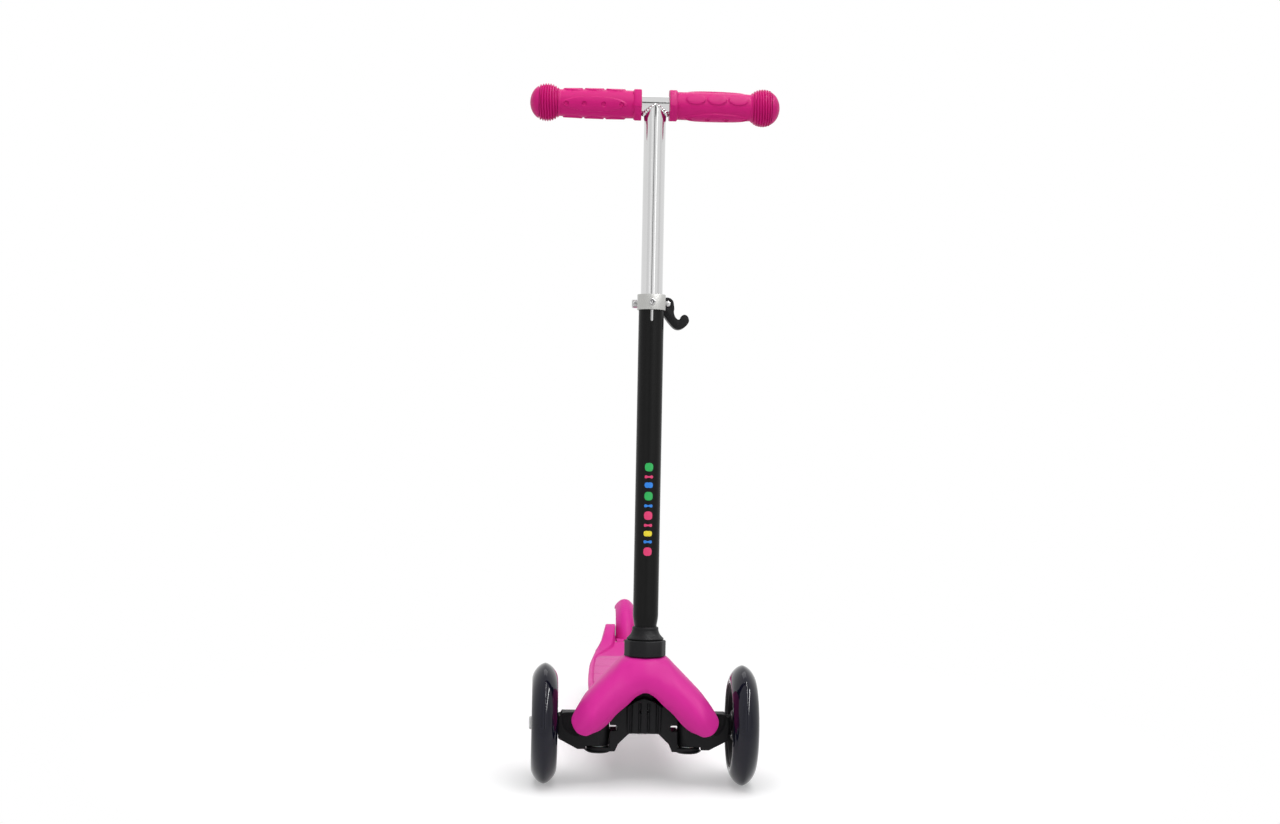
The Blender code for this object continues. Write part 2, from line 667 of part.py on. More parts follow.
def carrier_outline():
    """Half the front view of the axle carrier, from the top centre to the bottom centre."""
    side = HOUSING_HALF + 0.0065
    reach = KINGPIN_X - EYE_RADIUS - 2 * GAP
    waist = (UPPER_LUG_LOW + LOWER_LUG_TOP) / 2 + 0.0027
    return [(0.0, HOUSING_HIGH), (0.008, HOUSING_HIGH - 0.0025), (0.017, UPPER_LUG_TOP + 0.0005),
            (0.022, UPPER_LUG_TOP), (KINGPIN_X, UPPER_LUG_TOP), (KINGPIN_X, UPPER_LUG_LOW),
            (reach, UPPER_LUG_LOW), (reach, waist + 0.0030), (side + 0.0005, waist + 0.0030),
            (side, waist), (side + 0.0005, waist - 0.0030), (reach, waist - 0.0030),
            (reach, LOWER_LUG_TOP), (KINGPIN_X, LOWER_LUG_TOP), (KINGPIN_X, LOWER_LUG_LOW),
            (0.0287, LOWER_LUG_LOW), (0.0254, LOWER_LUG_LOW + 0.0078), (0.0146, HOUSING_LOW), (0.0, HOUSING_LOW)]


def axle_carrier(root, materials):
    half = carrier_outline()
    whole = half + [(-x, z) for x, z in reversed(half[1:-1])]
    body = piece("axle_carrier", prism(whole, "Y", -CARRIER_FRONT, CARRIER_BACK), materials["black"], root)
    front = [p for p in half if p[0] < 0.018 and p[1] > HOUSING_LOW] + [(0.0165, HOUSING_LOW + 0.002)]
    front += [(0.0150, HOUSING_LOW + 0.0005), (0.0, HOUSING_LOW + 0.0005)]
    front_whole = front + [(-x, z) for x, z in reversed(front[1:-1])]
    back = block((-HOUSING_HALF, 0, HOUSING_LOW + 0.001), (HOUSING_HALF, HOUSING_REAR, UPPER_LUG_TOP + 0.004))
    add(body, prism(front_whole, "Y", -HOUSING_FRONT, 0), back)
    for side in (1, -1):
        x = side * KINGPIN_X
        add(body, moved(drum("Z", LOWER_LUG_LOW, LOWER_LUG_TOP, LOWER_LUG_RADIUS, BIG_SIDES), (x, 0, 0)),
            moved(drum("Z", UPPER_LUG_LOW, UPPER_LUG_TOP, UPPER_LUG_RADIUS, BIG_SIDES), (x, 0, 0)))
    wall = HOUSING_FRONT - FRONT_WALL
    cut(body, block((-CAVITY_HALF, -wall, HOUSING_LOW + HOUSING_FLOOR),
                    (CAVITY_HALF, HOUSING_REAR - HOUSING_WALL, HOUSING_HIGH + 0.01)),
        block((-CAVITY_HALF, FLOOR_BACK, HOUSING_LOW - 0.01),
              (CAVITY_HALF, HOUSING_REAR - HOUSING_WALL, HOUSING_HIGH)))
    lean_hole = drum("Y", PIVOT_SKIN - GAP - HOUSING_FRONT, HOUSING_REAR + OVERCUT, SHAFT_BORE, MID_SIDES)
    cut(body, moved(lean_hole, (0, 0, LEAN_Z)))
    for side in (1, -1):
        pin_hole = drum("Z", LOWER_LUG_LOW - OVERCUT, UPPER_LUG_TOP + OVERCUT, SHAFT_BORE, MID_SIDES)
        cut(body, moved(pin_hole, (side * KINGPIN_X, 0, 0)))
    for k in range(RIB_GROOVES):
        x = (k - (RIB_GROOVES - 1) / 2) * RIB_PITCH
        left, right = x - RIB_GROOVE_WIDTH / 2, x + RIB_GROOVE_WIDTH / 2
        cut(body, block((left, -HOUSING_FRONT - OVERCUT, HOUSING_LOW + RIB_GROOVE_FOOT),
                        (right, RIB_GROOVE_DEPTH - HOUSING_FRONT, HOUSING_HIGH - RIB_GROOVE_HEAD)))


def tie_rod(root, materials):
    """The flat bar that joins the two levers, driven at its middle."""
    low, high = ROD_Z - ROD_THICKNESS / 2 + GAP, ROD_Z + ROD_THICKNESS / 2
    at = hinge_point("tie_rod_axis", (0, LEVER_LENGTH, 0), root)
    span = KINGPIN_X
    body = piece("tie_rod", block((-span, -ROD_HALF, low), (span, ROD_HALF, high)), materials["steel"], at)
    for x in (-span, span):
        pad = drum("Z", low, high, ROD_PAD_RADIUS, MID_SIDES)
        add(body, moved(pad, (x, 0, 0)))
    add(body, drum("Z", low, high, ROD_PAD_RADIUS, MID_SIDES))
    for x, half_x, half_y in ((-span, STUD_RADIUS + GAP, STUD_RADIUS + GAP + ROD_PIN_PLAY),
                              (span, STUD_RADIUS + GAP, STUD_RADIUS + GAP + ROD_PIN_PLAY),
                              (0, FINGER_RADIUS + GAP + FINGER_PLAY, FINGER_RADIUS + GAP + FINGER_PLAY)):
        hole = [(half_x * math.cos(math.tau * k / MID_SIDES), half_y * math.sin(math.tau * k / MID_SIDES))
                for k in range(MID_SIDES)]
        cut(body, moved(prism(hole, "Z", low - OVERCUT, high + OVERCUT), (x, 0, 0)))


def lean_pivot(root, materials):
    """The bolt that the board leans about."""
    start = PIVOT_SKIN - HOUSING_FRONT
    head = HOUSING_REAR + GAP
    profile = [(start, 0), (start, AXLE_RADIUS), (head, AXLE_RADIUS),
               *head_profile(head, AXLE_HEAD_HEIGHT, AXLE_HEAD_RADIUS)]
    piece("lean_pivot_bolt", turned(profile, "Y", MID_SIDES), materials["steel"], root, (0, 0, LEAN_Z))


def lean_springs(root, materials):
    low = UPPER_LUG_TOP + GAP
    high = WING_LOW - GAP
    for side, tag in ((1, "l"), (-1, "r")):
        spring = coil(SPRING_RADIUS, SPRING_WIRE, low, high, SPRING_TURNS)
        piece(f"lean_spring_{tag}", spring, materials["steel"], root, (side * SPRING_X, 0, 0))


# Board, from the head core to the rear fork

def tongue_span():
    """Front and back of the tongue that hangs inside the housing."""
    front = FRONT_WALL - HOUSING_FRONT + BUSH_FLANGE + 2 * GAP
    back = HOUSING_REAR - HOUSING_WALL - BUSH_FLANGE - 2 * GAP
    return front, back


def lean_bushes(board, materials):
    front, back = tongue_span()
    for tag, face, way in (("front", front - GAP / 2, -1), ("rear", back + GAP / 2, 1)):
        outer = face + way * BUSH_FLANGE
        sleeve = face - way * BUSH_SLEEVE
        profile = [(outer, SHAFT_BORE), (outer, BUSH_FLANGE_RADIUS), (face, BUSH_FLANGE_RADIUS),
                   (face, BUSH_WALL_RADIUS), (sleeve, BUSH_WALL_RADIUS), (sleeve, SHAFT_BORE)]
        piece(f"lean_bush_{tag}", turned(profile, "Y", MID_SIDES), materials["bush"], board)


def stem_turn(bm, along=0.0):
    """A mesh drawn about the stem's own axis, set into the board's frame."""
    turn = Matrix.Rotation(-STEM_RAKE, 4, "X")
    foot = Vector((0, 0, STEM_FOOT_Z - LEAN_Z))
    return moved(moved(bm, (0, 0, along)), foot, turn)


def head_core(board, materials):
    """The chassis block: stem socket above, pivot tongue below, beam to the keel behind."""
    front, back = tongue_span()
    low, high = CORE_LOW - LEAN_Z, CORE_HIGH - LEAN_Z
    body = piece("head_core", block((-CORE_HALF, -CORE_FRONT, low), (CORE_HALF, CORE_BACK, high)),
                 materials["black"], board)
    tongue = block((-TONGUE_HALF, front, TONGUE_LOW - LEAN_Z), (TONGUE_HALF, back, low + 0.002))
    finger_low = ROD_Z - ROD_THICKNESS / 2 - LEAN_Z + GAP
    finger = drum("Z", finger_low, TONGUE_LOW - LEAN_Z + 0.004, FINGER_RADIUS, MID_SIDES)
    wing_low = WING_LOW - LEAN_Z
    wing = block((-WING_REACH, -WING_HALF_LENGTH, wing_low),
                 (WING_REACH, WING_HALF_LENGTH, wing_low + WING_THICKNESS))
    rear = CORE_BACK - WING_HALF_LENGTH / 2
    room = HOUSING_REAR + AXLE_HEAD_HEIGHT + 2 * RUN_GAP
    beam = [(rear, low), (rear, high - BEAM_SHOULDER), (BEAM_KNEE_D, BEAM_KNEE_Z - LEAN_Z),
            (BEAM_TOE_D, BEAM_TOE_Z - LEAN_Z), (BEAM_BACK, BEAM_LOW + BEAM_END_HEIGHT - LEAN_Z),
            (BEAM_BACK, BEAM_LOW - LEAN_Z), (KEEL_START - RUN_GAP, BEAM_LOW - LEAN_Z),
            (room, AXLE_HEAD_RADIUS / 2), (room, low)]
    boss = drum("Z", -0.014, BOSS_HEIGHT, CORE_BOSS_RADIUS, BIG_SIDES)
    add(body, tongue, moved(finger, (0, LEVER_LENGTH, 0)), wing, prism(beam, "X", -BEAM_HALF, BEAM_HALF),
        stem_turn(boss))
    socket = drum("Z", -SOCKET_DEPTH, BOSS_HEIGHT + OVERCUT, SOCKET_RADIUS, BIG_SIDES)
    bore = drum("Y", front - OVERCUT, back + OVERCUT, EYE_BORE, MID_SIDES)
    button = drum("Y", 0, CORE_BOSS_RADIUS + 2 * OVERCUT, BUTTON_RADIUS + GAP, MID_SIDES)
    cut(body, stem_turn(socket), bore, stem_turn(button, BUTTON_HEIGHT))
    hole = drum("Z", BEAM_LOW - OVERCUT, BEAM_LOW + KEEL_SCREW_BITE, KEEL_SCREW_RADIUS + GAP, SMALL_SIDES)
    cut(body, moved(hole, (0, KEEL_SCREWS[0], -LEAN_Z)))


def cover_net():
    """Hand-set points of the cover, front lip to rear edge, centre to side.

    Each is (x, distance behind the axle, height) in millimetres for the drawn
    half width and top height.
    """
    return [
        [(0, -27, 96.2), (8.9, -27.5, 92.5), (17.7, -28.5, 84.1), (27.6, -30, 75.7), (36.4, -31, 66),
         (44.2, -32, 59.7), (52.1, -33, 56.6)],
        [(0, -31, 101.4), (10, -31.5, 98), (19, -33, 90.8), (29, -36, 82.5), (38.5, -39, 73.4), (48, -41, 63.5),
         (58.9, -38, 54.9)],
        [(0, -31.5, 112), (11, -31.5, 109), (20.5, -33.5, 102), (31.5, -37.5, 93.5), (42.5, -42, 83.5),
         (53.5, -46, 71), (67, -41, 58.5)],
        [(0, -28, 121), (11.5, -28, 118.5), (21.5, -29, 112.5), (33, -33.5, 104), (45, -39, 93),
         (57.5, -44, 78.5), (72, -38, 65)],
        [(0, -22.5, 127.8), (12, -21.5, 127), (22, -21, 122.5), (33.5, -24, 112.5), (46, -29.5, 101),
         (59, -35, 87), (73.2, -32, 71.5)],
        [(0, -14, 129.6), (12, -13, 129.4), (21.8, -11, 127.8), (32.5, -13, 117.5), (45.5, -17, 106),
         (58, -22, 93.5), (68.6, -24, 79.8)],
        [(0, 2, 129.2), (12, 2, 129), (21.5, 2, 128.2), (31, 2, 119.8), (43.5, 0, 107.5), (54, -4, 97),
         (61, -6, 89)],
        [(0, 20, 127.6), (12, 20, 127.4), (21.5, 19, 126), (31, 20, 116.5), (42, 20, 104.8), (51.5, 19, 94.5),
         (57.8, 18, 87)],
        [(0, 42, 116.5), (12, 42, 115.8), (22, 42, 112.5), (31.5, 43, 104.5), (41.5, 44, 95), (50.5, 44, 86.2),
         (56.5, 43, 77.5)],
        [(0, 68, 96.5), (12.5, 68, 96), (23, 69, 93.5), (32.5, 70, 89), (41.5, 71, 83.5), (49.5, 71, 78),
         (55.5, 70, 69.5)],
        [(0, 97, 75.6), (13, 97, 75.6), (24, 97, 75.6), (33.5, 97, 75.5), (42, 97, 75.4), (48.5, 97, 74.6),
         (51.8, 97, 67)],
    ]


def cover_surface(across, along):
    """Rows of points over the whole cover, smooth through the net."""
    wide = COVER_HALF / NET_HALF / 1000
    deep = COVER_BACK / NET_BACK / 1000
    tall = (COVER_TOP - DECK_LOW) / (NET_TOP - NET_LOW)
    rows = []
    for net_row in cover_net():
        half = [Vector((x * wide, d * deep, DECK_LOW + (z / 1000 - NET_LOW) * tall)) for x, d, z in net_row]
        mirrored = [Vector((-p.x, p.y, p.z)) for p in reversed(half[1:])]
        rows.append(through(mirrored + half, across))
    columns = [through(list(column), along) for column in zip(*rows)]
    return [list(row) for row in zip(*columns)]


def front_cover(board, materials):
    rows = cover_surface(2, 1)
    bm = bmesh.new()
    grid = [[bm.verts.new(p - Z_AXIS * LEAN_Z) for p in row] for row in rows]
    for a, b in zip(grid, grid[1:]):
        for i in range(len(a) - 1):
            bm.faces.new((a[i], a[i + 1], b[i + 1], b[i]))
    bmesh.ops.recalc_face_normals(bm, faces=bm.faces)
    top = max(bm.faces, key=lambda f: f.calc_center_median().z)
    if top.normal.z < 0:
        bmesh.ops.reverse_faces(bm, faces=bm.faces)
    body = piece("front_cover", bm, materials["pink"], board)
    wall = body.modifiers.new("Wall", "SOLIDIFY")
    wall.thickness = COVER_WALL
    wall.offset = -1
    hole = drum("Z", -0.02, 0.02, COLLAR_BORE, BIG_SIDES)
    cut(body, stem_turn(hole))


def deck_sections():
    """Half sections of the board by distance behind the front axle.

    Each lists: distance, half width of the top, ear's inner edge, ear's outer edge,
    side, lower side, bottom; with their heights.
    """
    sections = []
    widths = ((0.0, 0.996), (0.175, 1.0), (0.34, 0.992), (0.535, 0.962), (0.77, 0.912), (1.0, 0.821))
    for share, width in widths:
        w = DECK_HALF * width
        brow = DECK_TOP + DECK_RIM_HEIGHT
        sections.append((DECK_START + (FLAT_END - DECK_START) * share,
                         [(0, DECK_TOP), (w - DECK_RIM, DECK_TOP), (w - DECK_RIM + DECK_RIM_HEIGHT, brow),
                          (w - DECK_BEVEL, brow), (w, brow - DECK_BEVEL), (w, (DECK_TOP + DECK_LOW) / 2),
                          (w - DECK_RIM / 2, DECK_LOW), (0, DECK_LOW)]))
    for share, spread, inner, ear, top, side, belly, low in fork_sections():
        line = BRAKE_PIVOT_Z - BRAKE_PIVOT_ABOVE * min(max(share, 0), 1)
        outer = FORK_EAR_OUTER * spread
        edge = FORK_SIDE * spread
        sections.append((BRAKE_PIVOT_D + BRAKE_PIVOT_AHEAD * share,
                         [(0, line + top), (FORK_EAR_INNER * inner, line + top),
                          (FORK_EAR_INNER * inner + DECK_RIM_HEIGHT * spread, line + ear), (outer, line + ear),
                          (edge, line + side), (edge, line + belly), (edge - DECK_RIM / 3, line + low),
                          (0, line + low)]))
    return sections


def fork_sections():
    """The fork's stations from the board back past the axle, with heights about the line pivot to axle.

    Each is: share of that line, width and inner edge as shares, and the heights of the
    ears, the middle, the side, the lower side and the bottom.
    """
    return [(-0.333, 1.27, 1.25, 0.0020, -0.0020, -0.0050, -0.0130, DECK_LOW - BRAKE_PIVOT_Z),
            (-0.053, 1.08, 0.98, 0.0130, 0.0040, -0.0015, -0.0130, -0.0260),
            (0.20, 1.0, 0.98, 0.0250, 0.0140, 0.0060, -0.0070, -0.0260),
            (0.42, 0.97, 0.98, 0.0300, 0.0200, 0.0120, -0.0030, -0.0240),
            (0.73, 0.92, 0.98, 0.0260, 0.0200, 0.0150, 0.0000, -0.0190),
            (1.01, 0.89, 0.98, 0.0195, 0.0140, 0.0130, -0.0020, -0.0130),
            (1.21, 0.85, 0.98, 0.0065, 0.0040, 0.0030, -0.0040, -0.0085)]


def deck(board, materials):
    rings = []
    for d, half in deck_sections():
        ring = half + [(-x, z) for x, z in reversed(half[1:-1])]
        rings.append([(x, d, z - LEAN_Z) for x, z in ring])
    body = piece("deck", skinned(rings), materials["pink"], board)
    slot = block((-FORK_HALF, FORK_START, -LEAN_Z), (FORK_HALF, WHEELBASE + REAR_WHEEL_RADIUS, DECK_TOP))
    pin_reach = BRAKE_PIN_HALF + GAP
    pin_hole = drum("X", -pin_reach, pin_reach, BRAKE_PIN_RADIUS + GAP, SMALL_SIDES)
    cut(body, slot, moved(pin_hole, (0, BRAKE_PIVOT_D, BRAKE_PIVOT_Z - LEAN_Z)))
    boss_start = BEARING_SHOULDER + BEARING_WIDTH + 3 * GAP
    for side in (1, -1):
        boss = drum("X", boss_start, FORK_HALF + 0.003, SHOULDER_RADIUS + 0.0005, MID_SIDES)
        pad = drum("X", FORK_HALF + 0.002, FORK_PAD_X, FORK_PAD_RADIUS, MID_SIDES)
        at = (0, WHEELBASE, REAR_Z - LEAN_Z)
        add(body, sided(moved(boss, at), side), sided(moved(pad, at), side))
    axle_hole = drum("X", -FORK_PAD_X - OVERCUT, FORK_PAD_X + OVERCUT, SHAFT_BORE, MID_SIDES)
    cut(body, moved(axle_hole, (0, WHEELBASE, REAR_Z - LEAN_Z)))
    pitch = (FLAT_END - DECK_START - BAY_WALL) / BAY_COUNT
    for bay in range(BAY_COUNT):
        start = DECK_START + BAY_WALL + pitch * bay
        end = start + pitch - BAY_WALL
        outer = deck_half_at(end) - BAY_WALL
        for side in (1, -1):
            pocket = block((KEEL_HALF + DECK_SKIN, start, -LEAN_Z), (outer, end, DECK_TOP - DECK_SKIN - LEAN_Z))
            cut(body, sided(pocket, side))
    hole = drum("Z", DECK_LOW - 3 * OVERCUT, DECK_LOW + KEEL_SCREW_BITE - 2 * OVERCUT, KEEL_SCREW_RADIUS + GAP,
                SMALL_SIDES)
    cut(body, moved(hole, (0, KEEL_SCREWS[1], -LEAN_Z)))


def deck_half_at(d):
    spots = [(section[0], section[1][4][0]) for section in deck_sections()[:7]]
    for (d0, w0), (d1, w1) in zip(spots, spots[1:]):
        if d <= d1:
            return w0 + (w1 - w0) * (d - d0) / (d1 - d0)
    return spots[-1][1]


def tread_mat(board, materials):
    """The thin matt sheet let into the board's top."""
    low = DECK_TOP + GAP
    spots = [MAT_START + (MAT_END - MAT_START) * k / 5 for k in range(6)]
    edge = []
    for k, d in enumerate(spots):
        pinch = MAT_CORNER if k == 5 else 0.0
        edge.append((deck_half_at(d) - MAT_EDGE - pinch, d))
    rings = [[(x, d, low - LEAN_Z), (x, d, low + MAT_THICKNESS - LEAN_Z), (-x, d, low + MAT_THICKNESS - LEAN_Z),
              (-x, d, low - LEAN_Z)] for x, d in edge]
    piece("tread_mat", skinned(rings), materials["mat"], board)


def keel(board, materials):
    high = DECK_LOW - GAP - LEAN_Z
    low = high - KEEL_THICKNESS
    inner = KEEL_HALF - KEEL_EDGE
    outline = [(-inner, KEEL_START), (inner, KEEL_START), (KEEL_HALF, KEEL_START + KEEL_EDGE),
               (KEEL_HALF, KEEL_END - KEEL_EDGE), (inner, KEEL_END), (-inner, KEEL_END),
               (-KEEL_HALF, KEEL_END - KEEL_EDGE), (-KEEL_HALF, KEEL_START + KEEL_EDGE)]
    body = piece("deck_keel", prism(outline, "Z", low, high), materials["steel"], board)
    head = low + GAP
    seat = head + KEEL_SCREW_HEIGHT
    for index, d in enumerate(KEEL_SCREWS, 1):
        hole = drum("Z", low - OVERCUT, high + OVERCUT, KEEL_SCREW_RADIUS + GAP, SMALL_SIDES)
        sink = drum("Z", low - OVERCUT, seat + GAP, KEEL_SCREW_HEAD + GAP, SMALL_SIDES)
        cut(body, moved(hole, (0, d, 0)), moved(sink, (0, d, 0)))
        tip = high + KEEL_SCREW_BITE * 0.75
        profile = [(head, 0), (head, KEEL_SCREW_HEAD - HEAD_BEVEL), (head + HEAD_BEVEL, KEEL_SCREW_HEAD),
                   (seat, KEEL_SCREW_HEAD), (seat, KEEL_SCREW_RADIUS), (tip, KEEL_SCREW_RADIUS), (tip, 0)]
        piece(f"keel_screw_{index}", turned(profile, "Z", SMALL_SIDES), materials["steel"], board, (0, d, 0))


def rear_wheel(board, materials):
    spin = hinge_point("rear_wheel_axis", (0, WHEELBASE, REAR_Z - LEAN_Z), board)
    wheel("rear", REAR_WHEEL_RADIUS, REAR_WHEEL_WIDTH, spin, REAR_WHEEL_SIDES, materials)
    face = FORK_PAD_X + GAP
    tip = -face - NUT_HEIGHT + RUN_GAP
    profile = [(tip, 0), (tip, AXLE_RADIUS), (face, AXLE_RADIUS),
               *head_profile(face, AXLE_HEAD_HEIGHT, AXLE_HEAD_RADIUS)]
    at = (0, WHEELBASE, REAR_Z - LEAN_Z)
    piece("rear_axle_bolt", turned(profile, "X", MID_SIDES), materials["steel"], board, at)
    nut = piece("rear_axle_nut", turned(rod_profile(-face - NUT_HEIGHT, -face, NUT_RADIUS), "X", SMALL_SIDES),
                materials["steel"], board, at)
    cut(nut, drum("X", -face - NUT_HEIGHT - OVERCUT, OVERCUT - face, SHAFT_BORE, MID_SIDES))


# Brake

def fender_loop(step):
    """The fender's gutter section at a step along it: (x, distance from the rear axle)."""
    behind = max(0.0, (step - FENDER_CREST_STEP) / (FENDER_STEPS - FENDER_CREST_STEP))
    drop = FENDER_DROP * (1 - FENDER_TAIL_RISE * behind)
    outer = [(FENDER_HALF * x, FENDER_RADIUS - drop * z)
             for x, z in ((0, 0), (0.38, 0.055), (0.71, 0.25), (0.925, 0.6), (1, 1))]
    inner = [(x * (1 - FENDER_WALL / FENDER_HALF), r - FENDER_WALL) for x, r in outer]
    inner[-1] = (inner[-1][0], outer[-1][1])
    half = outer + list(reversed(inner))
    return half + [(-x, r) for x, r in reversed(half[1:-1])]


def on_arch(x, radius, angle):
    """A point over the rear wheel, in the board's frame; the angle is zero at the top."""
    return Vector((x, WHEELBASE - radius * math.sin(angle), REAR_Z - LEAN_Z + radius * math.cos(angle)))


def brake(board, materials):
    """Spring-back fender with its rubbing shoe, on a pin between the ears."""
    pivot = Vector((0, BRAKE_PIVOT_D, BRAKE_PIVOT_Z - LEAN_Z))
    hinge = hinge_point("brake_axis", pivot, board)
    rings = []
    for k in range(FENDER_STEPS + 1):
        angle = FENDER_FRONT - FENDER_STEP * k
        rings.append([on_arch(x, r, angle) - pivot for x, r in fender_loop(k)])
    body = piece("brake_fender", skinned(rings), materials["pink"], hinge)
    arm = on_arch(0, FENDER_RADIUS - 0.001, FENDER_FRONT) - pivot
    outline = [(FENDER_EYE_RADIUS * math.cos(a), FENDER_EYE_RADIUS * math.sin(a))
               for a in (math.radians(t) for t in range(95, 336, 30))]
    outline += [(arm.y + 0.0015, arm.z - 0.0032), (arm.y + 0.0040, arm.z + 0.0020), (arm.y, arm.z + 0.0010)]
    add(body, prism(outline, "X", -FENDER_HALF, FENDER_HALF))
    cut(body, drum("X", -0.02, 0.02, BRAKE_PIN_RADIUS + GAP, SMALL_SIDES),
        block((-0.0042, -0.009, -0.0085), (0.0042, 0.0046, 0.0070)))
    shoe_high = FENDER_RADIUS - FENDER_WALL - GAP
    shoe_low = REAR_WHEEL_RADIUS + SHOE_GAP
    rings = []
    for k in range(SHOE_STEPS + 1):
        angle = FENDER_FRONT - FENDER_STEP * (SHOE_FROM_STEP + k)
        rings.append([on_arch(x, r, angle) - pivot for x, r in
                      ((-SHOE_HALF, shoe_low), (SHOE_HALF, shoe_low), (SHOE_HALF, shoe_high - 0.0025),
                       (SHOE_HALF * 0.5, shoe_high - 0.0005), (-SHOE_HALF * 0.5, shoe_high - 0.0005),
                       (-SHOE_HALF, shoe_high - 0.0025))])
    piece("brake_shoe", skinned(rings), materials["black"], hinge)
    pin = turned(rod_profile(-BRAKE_PIN_HALF, BRAKE_PIN_HALF, BRAKE_PIN_RADIUS), "X", SMALL_SIDES)
    piece("brake_pin", pin, materials["steel"], board, pivot)
    spring = coil(BRAKE_SPRING_RADIUS, BRAKE_SPRING_WIRE, -BRAKE_SPRING_HALF, BRAKE_SPRING_HALF,
                  BRAKE_SPRING_TURNS)
    turn = Matrix.Rotation(math.radians(90), 4, "Y")
    piece("brake_spring", moved(spring, (0, 0, 0), turn), materials["steel"], board, pivot)


# Stem

def stem(board, materials):
    foot = hinge_point("stem_foot", (0, 0, STEM_FOOT_Z - LEAN_Z), board, -STEM_RAKE)
    low = GAP - SOCKET_DEPTH
    profile = [(low, SWAGE_RADIUS - STEM_WALL), (low, SWAGE_RADIUS), (SWAGE_LOW, SWAGE_RADIUS),
               (SWAGE_HIGH, STEM_RADIUS), (STEM_LENGTH, STEM_RADIUS), (STEM_LENGTH, STEM_BORE),
               (SWAGE_HIGH, STEM_BORE), (SWAGE_LOW, SWAGE_RADIUS - STEM_WALL)]
    tube = piece("outer_tube", turned(profile, "Z", BIG_SIDES), materials["satin_black"], foot)
    half = STEM_SLOT_WIDTH / 2
    bottom = STEM_LENGTH - STEM_SLOT_DEPTH + half
    outline = [(half, STEM_LENGTH + OVERCUT), (-half, STEM_LENGTH + OVERCUT)]
    for k in range(7):
        turn = math.pi * k / 6
        outline.append((-half * math.cos(turn), bottom - half * math.sin(turn)))
    button_hole = drum("Y", 0, STEM_RADIUS, BUTTON_RADIUS + GAP, MID_SIDES)
    cut(tube, prism(outline, "Y", -STEM_RADIUS - OVERCUT, -STEM_RADIUS / 2),
        moved(button_hole, (0, 0, BUTTON_HEIGHT)))
    bell = [(0, SOCKET_RADIUS), (0, BOOT_LOW_RADIUS - 0.0006), (0.0006, BOOT_LOW_RADIUS),
            (0.0016, BOOT_LOW_RADIUS - 0.0003), (0.0038, BOOT_LOW_RADIUS - 0.0026),
            (0.0064, BOOT_LIP_RADIUS + 0.0008), (0.0090, BOOT_LIP_RADIUS - 0.0003), (0.0110, BOOT_LIP_RADIUS),
            (BOOT_HEIGHT, BOOT_LIP_RADIUS - 0.0006), (BOOT_HEIGHT, SOCKET_RADIUS)]
    profile = [(COLLAR_HEIGHT + rise, radius) for rise, radius in bell]
    piece("stem_boot", turned(profile, "Z", BIG_SIDES), materials["black"], foot)
    collar_ring = []
    corner = COLLAR_RADIUS / math.cos(math.pi / COLLAR_SIDES) * COLLAR_CORNER_SHARE
    for k in range(COLLAR_SIDES * 2):
        angle = math.tau * (k // 2) / COLLAR_SIDES + (COLLAR_CORNER if k % 2 else -COLLAR_CORNER)
        collar_ring.append((corner * math.cos(angle), corner * math.sin(angle)))
    collar = piece("stem_collar", prism(collar_ring, "Z", -GAP, COLLAR_TOP), materials["black"], foot)
    bore = drum("Z", -OVERCUT, COLLAR_HEIGHT + OVERCUT, COLLAR_BORE, BIG_SIDES)
    hole = drum("Y", 0, corner + OVERCUT, BUTTON_RADIUS + GAP, MID_SIDES)
    cut(collar, bore, moved(hole, (0, 0, BUTTON_HEIGHT)))
    lock_button(foot, materials)
    return foot


def lock_button(foot, materials):
    """The sprung button behind the collar that holds the stem in its socket."""
    slide = hinge_point("stem_lock_axis", (0, 0, BUTTON_HEIGHT), foot)
    seat = SWAGE_RADIUS - STEM_WALL - BUTTON_SEAT
    back = seat - BUTTON_FLANGE_HEIGHT
    profile = [(back, 0), (back, BUTTON_FLANGE), (seat, BUTTON_FLANGE), (seat, BUTTON_RADIUS),
               (BUTTON_REACH - HEAD_BEVEL, BUTTON_RADIUS), (BUTTON_REACH, BUTTON_RADIUS - HEAD_BEVEL),
               (BUTTON_REACH, 0)]
    piece("stem_lock_button", turned(profile, "Y", MID_SIDES), materials["black"], slide)


def lever_outline():
    """The quick-release lever seen from the front, about its cam's centre."""
    cam = []
    for k in range(9):
        angle = math.radians(20 + 20 * k)
        lost = min(max((math.pi - angle) / CAM_TURN, 0.0), 1.0) * CAM_DROP
        cam.append(((CAM_RADIUS - lost) * math.cos(angle), (CAM_RADIUS - lost) * math.sin(angle)))
    hook = [(-0.0060, -0.0045), (-0.0036, -0.0070), (-0.0050, -0.0098), (-0.0041, -0.0110), (-0.0012, -0.0151),
            (0.0020, -0.0192), (0.0053, -0.0228), (0.0082, -0.0249), (0.0118, -0.0257), (0.0155, -0.0247),
            (0.0188, -0.0224), (0.0208, -0.0200), (0.0220, -0.0175), (0.0218, -0.0147), (0.0204, -0.0120),
            (0.0180, -0.0106), (0.0159, -0.0109), (0.0143, -0.0122), (0.0135, -0.0143), (0.0122, -0.0155),
            (0.0106, -0.0155), (0.0086, -0.0139), (0.0071, -0.0110), (0.0065, -0.0078), (0.0069, -0.0045)]
    return cam + hook


